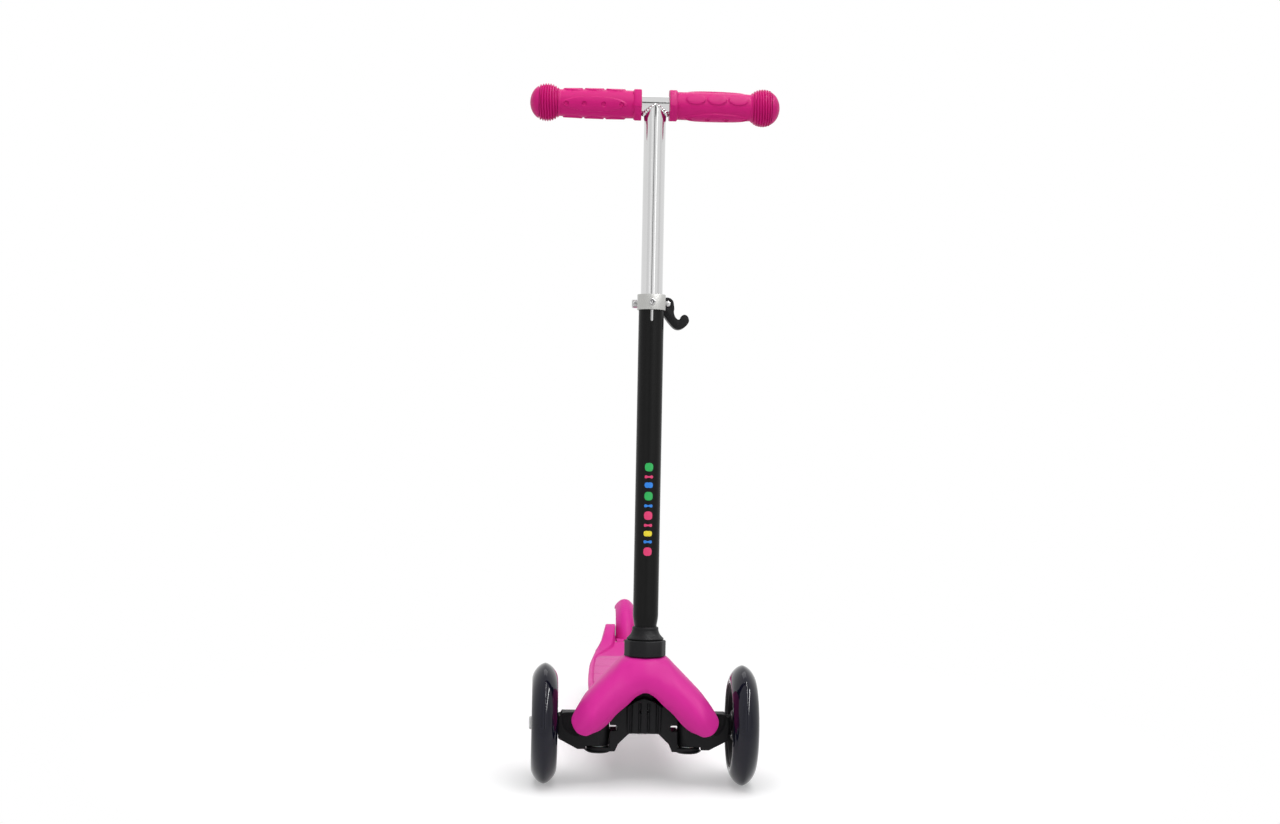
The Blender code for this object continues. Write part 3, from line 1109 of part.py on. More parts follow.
def clamp(foot, materials):
    """The split ring at the stem's mouth, with its cross bolt, cam and lever."""
    centre = hinge_point("clamp_centre", (0, 0, CLAMP_Z), foot)
    half = CLAMP_HEIGHT / 2
    radius = CLAMP_BORE + CLAMP_WALL
    ring = piece("clamp_ring", turned(rod_profile(-half, half, radius, GAP), "Z", BIG_SIDES),
                 materials["alloy"], centre)
    ear_half = half - EAR_STEP
    ears = block((-EAR_HALF, CLAMP_BORE / 2, -ear_half), (EAR_HALF, EAR_BACK, ear_half))
    add(ring, ears)
    bolt_hole = drum("X", -EAR_HALF - OVERCUT, EAR_HALF + OVERCUT, CLAMP_BOLT_RADIUS + GAP, MID_SIDES)
    screw_hole = drum("Y", -radius - OVERCUT, -CLAMP_BORE / 2, SCREW_RADIUS + GAP, SMALL_SIDES)
    cut(ring, drum("Z", -half - OVERCUT, half + OVERCUT, CLAMP_BORE, BIG_SIDES),
        block((-EAR_SLIT, CLAMP_BORE / 3, -half - OVERCUT), (EAR_SLIT, EAR_BACK + OVERCUT, half + OVERCUT)),
        moved(bolt_hole, (0, CLAMP_BOLT_Y, 0)), screw_hole)
    face = -radius - GAP
    tip = -INNER_RADIUS - GAP
    profile = [(face - SCREW_HEAD_HEIGHT, 0), (face - SCREW_HEAD_HEIGHT, SCREW_HEAD_RADIUS - 0.0012),
               (face - SCREW_HEAD_HEIGHT + 0.0008, SCREW_HEAD_RADIUS), (face, SCREW_HEAD_RADIUS),
               (face, SCREW_RADIUS), (tip, SCREW_RADIUS), (tip, 0)]
    piece("clamp_screw", turned(profile, "Y", MID_SIDES), materials["steel"], centre)
    washer_low = EAR_HALF + GAP
    washer = ring_profile(washer_low, washer_low + WASHER_THICKNESS, CLAMP_BOLT_RADIUS + GAP, WASHER_RADIUS)
    piece("cam_washer", turned(washer, "X", MID_SIDES), materials["steel"], centre, (0, CLAMP_BOLT_Y, 0))
    clamp_bolt_group(centre, materials)


def clamp_bolt_group(centre, materials):
    """The cross bolt with its nut and barrel, and the cam lever that turns on the barrel."""
    bolt_axis = hinge_point("clamp_bolt_axis", (0, CLAMP_BOLT_Y, 0), centre)
    nut_face = -EAR_HALF - GAP
    nut_end = nut_face - CLAMP_NUT_LENGTH
    step = CAM_X - BARREL_RADIUS - 2 * GAP
    start = nut_end + NUT_END_WALL + GAP
    tip = CAM_X + BARREL_RADIUS / 2
    profile = [(start, 0), (start, CLAMP_BOLT_RADIUS), (step, CLAMP_BOLT_RADIUS),
               (step, CLAMP_BOLT_TIP), (tip, CLAMP_BOLT_TIP), (tip, 0)]
    piece("clamp_bolt", turned(profile, "X", MID_SIDES), materials["steel"], bolt_axis)
    floor = nut_end + NUT_END_WALL
    bore = CLAMP_BOLT_RADIUS + GAP
    profile = [(floor, 0), (floor, bore), (nut_face, bore), (nut_face, CLAMP_NUT_RADIUS),
               (nut_end + HEAD_BEVEL, CLAMP_NUT_RADIUS), (nut_end, CLAMP_NUT_RADIUS - HEAD_BEVEL), (nut_end, 0)]
    piece("clamp_nut", turned(profile, "X", MID_SIDES), materials["steel"], bolt_axis)
    barrel = piece("barrel_pin", turned(rod_profile(-BARREL_HALF, BARREL_HALF, BARREL_RADIUS), "Y", MID_SIDES),
                   materials["steel"], bolt_axis, (CAM_X, 0, 0))
    tip_room = drum("X", -BARREL_RADIUS - OVERCUT, BARREL_RADIUS / 2 + GAP, CLAMP_BOLT_TIP + GAP, SMALL_SIDES)
    cut(barrel, tip_room)
    cam_axis = hinge_point("lever_axis", (CAM_X, 0, 0), bolt_axis)
    width = LEVER_WIDTH / 2
    lever = piece("quick_release_lever", prism(lever_outline(), "Y", -width, width), materials["black"],
                  cam_axis)
    cut(lever, drum("Y", -width - OVERCUT, width + OVERCUT, BARREL_RADIUS + GAP, MID_SIDES),
        block((-0.0095, -FORK_SLOT / 2, -0.0030), (0.0052, FORK_SLOT / 2, 0.0090)))


# Handlebar

def grip_profile():
    """From the inner face out to the domed end, then back along the bore."""
    bore = CROSSBAR_RADIUS + GAP
    neck = GRIP_BALL_WIDEST - GRIP_BALL_INNER * 0.78
    profile = [(GRIP_START, bore), (GRIP_START, GRIP_FLANGE_RADIUS - HEAD_BEVEL),
               (GRIP_START + HEAD_BEVEL, GRIP_FLANGE_RADIUS),
               (GRIP_START + GRIP_FLANGE - HEAD_BEVEL, GRIP_FLANGE_RADIUS),
               (GRIP_START + GRIP_FLANGE, GRIP_RADIUS), (neck - 0.010, GRIP_RADIUS), (neck, GRIP_NECK_RADIUS)]
    for share in (-0.62, -0.30, 0.0, 0.35, 0.60, 0.80, 0.93):
        reach = GRIP_BALL_INNER if share < 0 else GRIP_END - GRIP_BALL_WIDEST
        profile.append((GRIP_BALL_WIDEST + reach * share, GRIP_BALL_RADIUS * math.sqrt(1 - abs(share) ** 2.2)))
    end = GRIP_END - GRIP_CAP
    return [(end, 0), (end, bore), *profile, (GRIP_END, 0)]


def flatted(bm):
    """The grip with its round flange drawn in to a hexagon whose corners are clipped."""
    half = math.pi / GRIP_FLAT_COUNT
    for vert in bm.verts:
        if vert.co.x > GRIP_START + GRIP_FLANGE or math.hypot(vert.co.y, vert.co.z) < GRIP_RADIUS + GAP:
            continue
        angle = math.atan2(vert.co.z, -vert.co.y) - GRIP_FLAT_TURN
        folded = (angle + half) % (2 * half) - half
        share = min(math.cos(half) / math.cos(folded), GRIP_CORNER_SHARE)
        vert.co.y *= share
        vert.co.z *= share
    return bm


def handlebar(foot, materials):
    """The sliding bar: inner tube, crossbar, grips and the plug in the tube's end."""
    slide = hinge_point("handlebar_axis", (0, 0, 0), foot)
    seat = BAR_Z - CROSSBAR_RADIUS * 0.35
    under = BAR_Z - CROSSBAR_RADIUS
    rings = []
    for z, half_x, half_y in ((INNER_LOW, 1, 1), (under - FLARE_HEIGHT / 2, 1, 1),
                              (under - FLARE_HEIGHT / 8, 1.09, 1), (seat, FLARE_HALF / INNER_RADIUS, 0.92)):
        rings.append([(INNER_RADIUS * half_x * math.cos(math.tau * k / BIG_SIDES),
                       INNER_RADIUS * half_y * math.sin(math.tau * k / BIG_SIDES), z) for k in range(BIG_SIDES)])
    tube = piece("inner_tube", skinned(rings), materials["chrome"], slide)
    bore = drum("Z", INNER_LOW - OVERCUT, under - FLARE_HEIGHT / 2, INNER_RADIUS - INNER_WALL, BIG_SIDES)
    saddle = drum("X", -0.03, 0.03, CROSSBAR_RADIUS + GAP / 2, BIG_SIDES)
    cut(tube, bore, moved(saddle, (0, 0, BAR_Z)))
    end = GRIP_END - GRIP_CAP - GAP
    profile = ring_profile(-end, end, CROSSBAR_RADIUS - CROSSBAR_WALL, CROSSBAR_RADIUS)
    piece("crossbar", turned(profile, "X", REAR_WHEEL_SIDES), materials["chrome"], slide, (0, 0, BAR_Z))
    for side, tag in ((1, "l"), (-1, "r")):
        grip = sided(flatted(turned(grip_profile(), "X", GRIP_SIDES)), side)
        piece(f"grip_{tag}", grip, materials["grip"], slide, (0, 0, BAR_Z))
    top = INNER_LOW - GAP
    bore_radius = INNER_RADIUS - INNER_WALL - GAP
    profile = [(top - PLUG_FLANGE, 0), (top - PLUG_FLANGE, INNER_RADIUS - 0.0008),
               (top - PLUG_FLANGE + 0.0008, INNER_RADIUS), (top, INNER_RADIUS), (top, bore_radius),
               (top + PLUG_LENGTH, bore_radius - 0.0004), (top + PLUG_LENGTH, 0)]
    piece("inner_tube_plug", turned(profile, "Z", BIG_SIDES), materials["black"], slide)


def main():
    for old in list(bpy.data.objects):
        bpy.data.objects.remove(old, do_unlink=True)
    materials = {
        "pink": finish("magenta_plastic", (0.65, 0.03, 0.30), 0.42),
        "mat": finish("matt_tread", (0.71, 0.10, 0.37), 0.75),
        "grip": finish("grip_rubber", (0.74, 0.03, 0.25), 0.50),
        "black": finish("black_plastic", (0.018, 0.018, 0.020), 0.48),
        "satin_black": finish("black_paint", (0.012, 0.012, 0.012), 0.40),
        "tyre": finish("smoke_urethane", (0.030, 0.030, 0.045), 0.22),
        "steel": finish("zinc_steel", (0.60, 0.60, 0.60), 0.35, 1.0),
        "alloy": finish("satin_alloy", (0.72, 0.72, 0.73), 0.38, 1.0),
        "chrome": finish("chrome", (0.78, 0.78, 0.79), 0.12, 1.0),
        "bush": finish("nylon_bush", (0.60, 0.60, 0.58), 0.55),
    }
    root = hinge_point("front_axle", (0, AXLE_Y, 0))
    axle_carrier(root, materials)
    tie_rod(root, materials)
    lean_pivot(root, materials)
    lean_springs(root, materials)
    for side in (1, -1):
        kingpins(side, root, materials)
        front_corner(side, root, materials)
    board = hinge_point("lean_axis", (0, 0, LEAN_Z), root)
    lean_bushes(board, materials)
    head_core(board, materials)
    front_cover(board, materials)
    deck(board, materials)
    tread_mat(board, materials)
    keel(board, materials)
    rear_wheel(board, materials)
    brake(board, materials)
    foot = stem(board, materials)
    clamp(foot, materials)
    handlebar(foot, materials)


main()
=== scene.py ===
"""Looks of the three-wheel kick scooter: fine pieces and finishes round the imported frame.

Metres, +Z up. The front faces -Y and the rider's left is +X.
"""
import json
import math

import bmesh
import bpy
from bpy.props import FloatProperty, FloatVectorProperty, PointerProperty
from bpy.types import Operator, Panel, PropertyGroup
from mathutils import Matrix, Vector, noise


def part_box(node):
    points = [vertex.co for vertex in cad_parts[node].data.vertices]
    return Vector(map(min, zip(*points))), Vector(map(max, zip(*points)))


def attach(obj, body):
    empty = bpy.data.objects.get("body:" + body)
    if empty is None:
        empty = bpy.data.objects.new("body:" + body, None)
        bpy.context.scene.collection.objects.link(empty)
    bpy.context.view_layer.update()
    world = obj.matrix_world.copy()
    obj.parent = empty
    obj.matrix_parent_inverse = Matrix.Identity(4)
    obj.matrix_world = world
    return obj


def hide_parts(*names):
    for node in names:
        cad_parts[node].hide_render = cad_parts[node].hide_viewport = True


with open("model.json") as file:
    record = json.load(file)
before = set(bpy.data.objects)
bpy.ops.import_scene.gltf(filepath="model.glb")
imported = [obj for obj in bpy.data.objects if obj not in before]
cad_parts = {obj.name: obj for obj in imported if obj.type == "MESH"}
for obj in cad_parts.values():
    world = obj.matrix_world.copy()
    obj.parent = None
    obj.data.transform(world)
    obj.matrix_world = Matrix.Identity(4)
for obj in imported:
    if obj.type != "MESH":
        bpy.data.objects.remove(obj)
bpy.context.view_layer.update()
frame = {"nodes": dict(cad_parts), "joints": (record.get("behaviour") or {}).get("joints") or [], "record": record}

bl_info = {
    "name": "Three-wheel kick scooter",
    "version": (1, 0, 0),
    "blender": (4, 5, 0),
    "location": "View3D > Sidebar > Scooter",
    "description": "Builds the visible pieces of a three-wheel kick scooter round its frame",
    "category": "Object",
}

RECORD = frame["record"]
JOINTS = {joint["name"]: joint for joint in frame["joints"]}
NODE_BODY = {node: body for body, nodes in RECORD["behaviour"]["bodies"].items() for node in nodes}
NODE_SLOT = {part["node"]: part["material_slot"] for part in RECORD["subparts"]}

X_AXIS = Vector((1, 0, 0))
Y_AXIS = Vector((0, 1, 0))
Z_AXIS = Vector((0, 0, 1))
SHARP = math.radians(38.0)   # edges steeper than this stay crisp
SOFTER = math.radians(50.0)  # the same on a moulded, rounded piece
FINE = 96                    # steps round a large turned piece
COARSE = 48                  # steps round a small one
SEAM = 1e-5                  # points closer than this are one
OVERCUT = 0.001              # how far a cutting shape runs past a face

# Wheels
CROWN_POWER = 1.25
CROWN_STEPS = 28
TYRE_CROWN = 0.015
TYRE_DEPTH = 0.018
RIM_WALL = 0.005
BOSS_RADIUS = 0.0150
BEARING_RADIUS = 0.011
BEARING_WIDTH = 0.007
BEARING_SHOULDER = 0.0029
WEB_HALF = 0.0045
SPOKE_COUNT = 6
SPOKE_WIDTH = 0.0072
NUT_RADIUS = 0.0075
AXLE_EASE = 0.0008           # how far a turned bolt's corners are broken
AXLE_SOCKET = 0.0050
FIT = 0.0003

# Steering
EYE_LOW = 0.0396
EYE_HIGH = 0.0706
EYE_RADIUS = 0.01085
LEAN_WIRE = 0.0007

# Stem and handlebar
STEM_FOOT_Z = 0.130
TUBE_RADIUS = 0.0127
BUTTON_Z = 0.0070            # the lock button's height above the stem's foot
BUTTON_BORE = 0.0033
SLOT_HALF = 0.0016           # the slot behind the clamp
SLOT_DEPTH = 0.0268
MARK_START = 0.1000
MARK_GAP = 0.0040
MARK_HALF = 0.0042
GRIP_START = 0.0143
GRIP_END = 0.1265
BALL_WIDEST = 0.1095
BALL_INNER = 0.0175
BALL_RADIUS = 0.0189
FINS_START = 0.0986
FIN_COUNT = 7
FIN_PITCH = 0.0026
FIN_DEPTH = 0.0016
PAD_RISE = 0.0012
FLANGE_FLATS = 6
FLANGE_RADIUS = 0.0180
FLANGE_BORE = 0.0105
GRIP_RADIUS = 0.0139
GRIP_BORE = 0.0097


def joint_point(name):
    return Vector(JOINTS[name]["pos_m"])


AXLE = joint_point("lean")
STEM_AXIS = Vector(JOINTS["handlebar_height"]["axis"]).normalized()
STEM_RAKE = math.atan2(STEM_AXIS.y, STEM_AXIS.z)
STEM = Matrix.Translation((0, AXLE.y, STEM_FOOT_Z)) @ Matrix.Rotation(-STEM_RAKE, 4, "X")


def aim(at, axis):
    """A place whose local Z lies along an axis."""
    return Matrix.Translation(at) @ Vector(axis).to_track_quat("Z", "Y").to_matrix().to_4x4()


TO_BUTTON = aim((0, 0, BUTTON_Z), Y_AXIS)


def middle(node):
    low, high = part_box(node)
    return (low + high) / 2


def extent(node, place):
    """Lowest and highest place of a CAD node along the local Z of a place."""
    back = place.inverted()
    heights = [(back @ vertex.co).z for vertex in frame["nodes"][node].data.vertices]
    return min(heights), max(heights)


# Shader maths

class Wire:
    """An output socket of a material, with arithmetic that adds its Math nodes."""

    def __init__(self, finish, socket):
        self.finish = finish
        self.socket = socket

    def _maths(self, operation, *values):
        node = self.finish.add("ShaderNodeMath", {"operation": operation}, dict(enumerate(values)))
        return self.finish.out(node)

    def __add__(self, other):
        return self._maths("ADD", self, other)

    def __sub__(self, other):
        return self._maths("SUBTRACT", self, other)

    def __mul__(self, other):
        return self._maths("MULTIPLY", self, other)

    def __rsub__(self, other):
        return self._maths("SUBTRACT", other, self)

    __radd__ = __add__
    __rmul__ = __mul__

    def most(self, other):
        return self._maths("MAXIMUM", self, other)

    def ramp(self, low, high):
        """0 below low, 1 above high and smooth between them."""
        node = self.finish.add("ShaderNodeMapRange", {"interpolation_type": "SMOOTHSTEP"},
                               {0: self, 1: low, 2: high, 3: 0.0, 4: 1.0})
        return self.finish.out(node)


class Finish:
    """A material being made: its tree, its main shader and the nodes that feed it."""

    def __init__(self, name, colour, **sockets):
        self.material = bpy.data.materials.new(name)
        self.material.use_nodes = True
        self.material.diffuse_color = (*colour, 1.0)
        self.tree = self.material.node_tree
        self.shader = self.tree.nodes["Principled BSDF"]
        self.shader.inputs["Base Color"].default_value = (*colour, 1.0)
        for key, value in sockets.items():
            self.shader.inputs[key.replace("_", " ").title().replace("Ior", "IOR")].default_value = value

    def feed(self, socket, value):
        if isinstance(value, Wire):
            self.tree.links.new(value.socket, socket)
        else:
            socket.default_value = value

    def add(self, kind, settings=None, sockets=None):
        """A node with its settings made first, then its sockets' values or links."""
        node = self.tree.nodes.new(kind)
        for key, value in (settings or {}).items():
            setattr(node, key, value)
        for key, value in (sockets or {}).items():
            self.feed(node.inputs[key], value)
        return node

    def out(self, node, socket=0):
        return Wire(self, node.outputs[socket])

    def spot(self, stretch=(1.0, 1.0, 1.0)):
        """The object's own coordinates, stretched."""
        coordinates = self.out(self.add("ShaderNodeTexCoord"), "Object")
        return self.out(self.add("ShaderNodeMapping", sockets={"Vector": coordinates, "Scale": stretch}))

    def cloud(self, scale, detail=2.0, stretch=(1.0, 1.0, 1.0)):
        """Soft noise from 0 to 1."""
        return self.out(self.add("ShaderNodeTexNoise", sockets={
            "Vector": self.spot(stretch), "Scale": scale, "Detail": detail}))

    def cells(self, scale):
        """Distance from the nearest of scattered points: pits, pores and pebbles."""
        return self.out(self.add("ShaderNodeTexVoronoi", sockets={"Vector": self.spot(), "Scale": scale}))

    def blend(self, amount, first, second):
        """A mix of two colours."""
        node = self.add("ShaderNodeMix", {"data_type": "RGBA", "clamp_factor": True},
                        {0: amount, 6: first, 7: second})
        return self.out(node, 2)

    def paint(self, socket, value):
        self.feed(self.shader.inputs[socket], value)

    def tint(self, amount, colour, dark, light):
        """The base colour between two shares of one colour."""
        self.paint("Base Color", self.blend(amount, shade(colour, dark), shade(colour, light)))

    def raise_by(self, height, distance):
        """Small relief: a height from 0 to 1 that stands for a distance in metres."""
        self.paint("Normal", self.out(self.add("ShaderNodeBump", sockets={
            "Height": height, "Distance": distance})))


def shade(colour, share):
    return (*(min(c * share, 1.0) for c in colour), 1.0)


def moulded(name, colour, roughness, grain, spread=0.06, **sockets):
    """Injection-moulded plastic: fine spark-eroded grain, faint flow marks and handling marks."""
    finish = Finish(name, colour, roughness=roughness, **sockets)
    flow = finish.cloud(14.0, 3.0, (1.0, 0.35, 1.0))
    finish.tint(flow, colour, 1 - spread, 1 + spread)
    speck = finish.cloud(900.0, 2.0)
    rub = finish.cloud(55.0, 4.0, (1.0, 1.0, 0.3)).ramp(0.45, 0.75)
    finish.paint("Roughness", speck * 0.08 - rub * 0.06 + (roughness - 0.02))
    finish.raise_by(speck * 0.6 + finish.cells(1500.0) * 0.4, grain)
    return finish.material


def pink_plastic(colours):
    return moulded("magenta_moulded_plastic", colours.body, 0.42, 0.00006, specular_ior_level=0.12)


def black_plastic(colours):
    return moulded("black_moulded_plastic", colours.black, 0.44, 0.00007, spread=0.15,
                   specular_ior_level=0.14)


def nylon_bush(colours):
    return moulded("natural_nylon", colours.nylon, 0.50, 0.00004, subsurface_weight=0.15,
                   subsurface_scale=0.002)


def shoe_rubber(colours):
    finish = Finish("hard_black_rubber", colours.rubber, roughness=0.75)
    dust = finish.cloud(120.0, 4.0).ramp(0.45, 0.8)
    finish.tint(dust * 0.5, colours.rubber, 1, 3.0)
    finish.paint("Roughness", dust * 0.12 + 0.68)
    finish.raise_by(finish.cells(700.0), 0.00008)
    return finish.material


def tread(colours):
    """The matt sheet on the board: paler, with a dry pebbled surface and painted shade in the hollows between the
    pebbles.
    """
    finish = Finish("matt_tread_sheet", colours.tread, roughness=0.70)
    pale = finish.cloud(30.0, 4.0)
    pebbles = finish.cells(620.0)
    colour = finish.blend(pale, shade(colours.tread, 0.92), shade(colours.tread, 1.08))
    # painted shade: the colour darkens towards the low edges between the pebbles
    finish.paint("Base Color", finish.blend(pebbles.ramp(0.1, 0.6) * 0.25, colour, shade(colours.tread, 0.8)))
    finish.paint("Roughness", pebbles * 0.10 + 0.64)
    finish.raise_by(1.0 - pebbles, 0.00016)
    return finish.material


def grip_rubber(colours):
    """Soft grip compound: satin, with a faint bloom and fine pores."""
    finish = Finish("magenta_grip_rubber", colours.grip, roughness=0.42, specular_ior_level=0.12)
    bloom = finish.cloud(40.0, 3.0)
    finish.tint(bloom, colours.grip, 0.93, 1.05)
    pores = finish.cells(1100.0)
    finish.paint("Roughness", bloom * 0.10 + 0.36)
    finish.raise_by(pores * 0.5 + bloom * 0.5, 0.00007)
    return finish.material


def smoke_tyre(colours):
    """Cast urethane: dark smoke, glossy, letting a little light through."""
    finish = Finish("smoke_urethane", colours.tyre, roughness=0.14, ior=1.5, transmission_weight=0.08,
                    specular_ior_level=0.05, coat_weight=0.40, coat_roughness=0.03)
    haze = finish.cloud(25.0, 3.0)
    finish.tint(haze, colours.tyre, 0.85, 1.15)
    scuff = finish.cloud(260.0, 5.0, (0.2, 1.0, 1.0)).ramp(0.55, 0.8)
    finish.paint("Roughness", scuff * 0.10 + 0.06)
    finish.raise_by(finish.cloud(35.0, 2.0), 0.00008)
    return finish.material


def black_paint(colours):
    """Gloss-black stove enamel on steel tube, with a light orange peel."""
    finish = Finish("black_enamel", colours.paint, roughness=0.30, specular_ior_level=0.12)
    peel = finish.cloud(260.0, 2.0)
    marks = finish.cloud(900.0, 3.0, (1.0, 1.0, 0.06)).ramp(0.6, 0.8)
    finish.paint("Roughness", peel * 0.10 + marks * 0.05 + 0.27)
    finish.tint(marks * 0.4, colours.paint, 1, 1.7)
    finish.raise_by(peel, 0.00003)
    return finish.material


def plated(name, colour, roughness, streak, peel=0.00001):
    """Plated metal: hairline wipe marks along local Z and a faint waviness."""
    finish = Finish(name, colour, roughness=roughness, metallic=1.0)
    lines = finish.cloud(1400.0, 3.0, (1.0, 1.0, 0.03))
    haze = finish.cloud(22.0, 3.0)
    finish.paint("Roughness", lines * streak + haze * streak * 0.7 + (roughness - streak * 0.8))
    finish.tint(haze, colour, 0.95, 1.03)
    finish.raise_by(haze, peel)
    return finish.material


def chrome(colours):
    return plated("bright_chrome", colours.chrome, 0.10, 0.008, 0.000002)


def zinc_steel(colours):
    return plated("bright_zinc", colours.zinc, 0.30, 0.10, 0.00003)


def satin_alloy(colours):
    """Turned and tumbled aluminium: fine rings round local Z under a satin bloom."""
    finish = Finish("satin_aluminium", colours.alloy, roughness=0.36, metallic=1.0)
    rings = finish.cloud(60.0, 3.0, (0.4, 0.4, 60.0))
    bloom = finish.cloud(260.0, 3.0)
    finish.paint("Roughness", rings * 0.08 + bloom * 0.08 + 0.38)
    finish.tint(bloom, colours.alloy, 0.92, 1.02)
    finish.raise_by(rings * 0.5 + bloom * 0.5, 0.000005)
    return finish.material


FINISHES = {make.__name__: make for make in (
    pink_plastic, tread, grip_rubber, black_plastic, shoe_rubber, black_paint, smoke_tyre, zinc_steel,
    satin_alloy, chrome, nylon_bush)}
MADE = {}


def finish_for(slot):
    """The material of a slot, made once."""
    if slot not in MADE:
        MADE[slot] = FINISHES[slot](bpy.context.scene.scooter_colours)
    return MADE[slot]


# Tools that make meshes

def eased(points, radius, steps=3, closed=False):
    """The points with each corner rounded: both cut-backs and a curve between them."""
    count = len(points)
    round_all = []
    for i, here in enumerate(points):
        if not closed and i in (0, count - 1):
            round_all.append(tuple(here))
            continue
        before, after = Vector(points[i - 1]), Vector(points[(i + 1) % count])
        corner = Vector(here)
        back, on = before - corner, after - corner
        reach = min(radius, back.length * 0.45, on.length * 0.45)
        if reach < SEAM or back.angle(on, math.pi) > math.radians(174):
            round_all.append(tuple(here))
            continue
        start, end = corner + back.normalized() * reach, corner + on.normalized() * reach
        for k in range(steps + 1):
            t = k / steps
            round_all.append(tuple(start * (1 - t) ** 2 + corner * 2 * t * (1 - t) + end * t * t))
    return round_all


def through(points, pieces, closed=False):
    """Points along a smooth curve that passes through all the given ones."""
    if closed:
        run = [points[-1], *points, points[0], points[1]]
    else:
        run = [points[0] * 2 - points[1], *points, points[-1] * 2 - points[-2]]
    curve = []
    for a, b, c, d in zip(run, run[1:], run[2:], run[3:]):
        for k in range(pieces):
            t = k / pieces
            curve.append((b * 2 + (c - a) * t + (a * 2 - b * 5 + c * 4 - d) * t * t
                          + (b * 3 - a - c * 3 + d) * t ** 3) / 2)
    return curve if closed else curve + [points[-1]]


def turned(profile, steps, field=None):
    """A body turned about local Z; the profile lists (height, radius), a field reshapes it."""
    verts, rows = [], []
    for height, radius in profile:
        if radius < SEAM:
            rows.append([len(verts)] * steps)
            verts.append((0, 0, height))
            continue
        rows.append(list(range(len(verts), len(verts) + steps)))
        for k in range(steps):
            angle = math.tau * k / steps
            z, r = field(height, radius, angle) if field else (height, radius)
            verts.append((r * math.cos(angle), r * math.sin(angle), z))
    if profile[0][1] >= SEAM:
        rows.append(rows[0])
    return verts, strips(rows, wrap=True)


def strips(rows, wrap):
    """Faces between rows of vertices."""
    faces = []
    for low, high in zip(rows, rows[1:]):
        for i in range(len(low) - (0 if wrap else 1)):
            j = (i + 1) % len(low)
            face = list(dict.fromkeys((low[i], low[j], high[j], high[i])))
            if len(face) > 2:
                faces.append(face)
    return faces


def numbered(rings):
    """The points of equal rings as one list, and each ring as numbers in that list."""
    size = len(rings[0])
    return ([tuple(p) for ring in rings for p in ring],
            [list(range(k * size, (k + 1) * size)) for k in range(len(rings))])


def lofted(rings):
    """Closed rings of points joined in order, with flat ends."""
    verts, rows = numbered(rings)
    return verts, strips(rows, wrap=True) + [rows[0], rows[-1]]


def looped(rings):
    """Closed rings of points joined in order, and the last to the first."""
    verts, rows = numbered(rings)
    return verts, strips([*rows, rows[0]], wrap=True)


def rod(low, high, radius, steps=COARSE):
    """A round bar along local Z."""
    return turned([(low, 0), (low, radius), (high, radius), (high, 0)], steps)


def moved(shape, place):
    """A shape carried from its own axes to a place."""
    verts, faces = shape
    return [place @ Vector(v) for v in verts], faces


def mirrored(side):
    """A closed section from its half on one side of the middle plane."""
    return [(-z, r) for z, r in side] + list(reversed(side))


def prism(outline, low, high):
    """An outline drawn in local X and Y, from one height to another."""
    return lofted([[(x, y, low) for x, y in outline], [(x, y, high) for x, y in outline]])


def brick(low, high):
    (x0, y0, z0), (x1, y1, z1) = low, high
    return prism([(x0, y0), (x1, y0), (x1, y1), (x0, y1)], z0, z1)


def at_angle(radius, angle):
    return radius * math.cos(angle), radius * math.sin(angle)


def polygon(sides, radius, turn=0.0):
    return [at_angle(radius, turn + math.tau * k / sides) for k in range(sides)]


def ring_about(centre, across, other, radius, sides):
    """Points round a centre, in the plane of two directions."""
    return [centre + (across * x + other * y) * radius for x, y in polygon(sides, 1.0)]


def tube_along(points, radius, sides):
    """A round bar along a path, with flat ends."""
    rings = []
    across = None
    for i, here in enumerate(points):
        ahead = (points[min(i + 1, len(points) - 1)] - points[max(i - 1, 0)]).normalized()
        if across is None:
            across = ahead.orthogonal().normalized()
        across = (across - ahead * across.dot(ahead)).normalized()
        rings.append(ring_about(here, across, ahead.cross(across), radius, sides))
    return lofted(rings)


def cross_section(angle, length, width):
    """How far a cross-shaped recess reaches at an angle."""
    folded = abs((angle + math.pi / 4) % (math.pi / 2) - math.pi / 4)
    return min(length / max(math.cos(folded), 0.1), width / max(math.sin(folded), 0.05))


# Tools that make pieces

def solid(name, shape, slot, place=None, sharp=SHARP):
    """An object from vertices and faces, with its finish, in its place."""
    verts, faces = shape
    mesh = bpy.data.meshes.new(name)
    mesh.from_pydata([tuple(v) for v in verts], [], faces)
    bm = bmesh.new()
    bm.from_mesh(mesh)
    bmesh.ops.recalc_face_normals(bm, faces=bm.faces)
    bm.to_mesh(mesh)
    bm.free()
    mesh.materials.append(finish_for(slot))
    made = bpy.data.objects.new(name, mesh)
    bpy.context.scene.collection.objects.link(made)
    if place is not None:
        made.matrix_world = place
    return smoothed(made, sharp)


def smoothed(made, sharp=SHARP):
    """The object shaded smooth up to an angle."""
    made.data.shade_smooth()
    made.data.set_sharp_from_angle(angle=sharp)
    return made


def baked(made, sharp=SHARP):
    """The object with its modifiers applied."""
    bpy.context.view_layer.update()
    mesh = bpy.data.meshes.new_from_object(made.evaluated_get(bpy.context.evaluated_depsgraph_get()))
    old = made.data
    made.modifiers.clear()
    made.data = mesh
    bpy.data.meshes.remove(old)
    return smoothed(made, sharp)


def worked(made, shapes, operation="DIFFERENCE", sharp=SHARP):
    """The object with closed shapes, drawn in its own axes, cut away from it or joined to it."""
    tools = []
    for shape in shapes:
        tool = solid("tool", shape, "black_plastic", made.matrix_world)
        step = made.modifiers.new("Work", "BOOLEAN")
        step.operation = operation
        step.solver = "EXACT"
        step.object = tool
        tools.append(tool)
    baked(made, sharp)
    for tool in tools:
        bpy.data.objects.remove(tool, do_unlink=True)
    return made


def rounded(made, width, limit, sharp=SHARP):
    """The object with its sharp edges broken."""
    step = made.modifiers.new("Round", "BEVEL")
    step.width = width
    step.segments = 3
    step.limit_method = "ANGLE"
    step.angle_limit = math.radians(limit)
    step.use_clamp_overlap = True
    return baked(made, sharp)


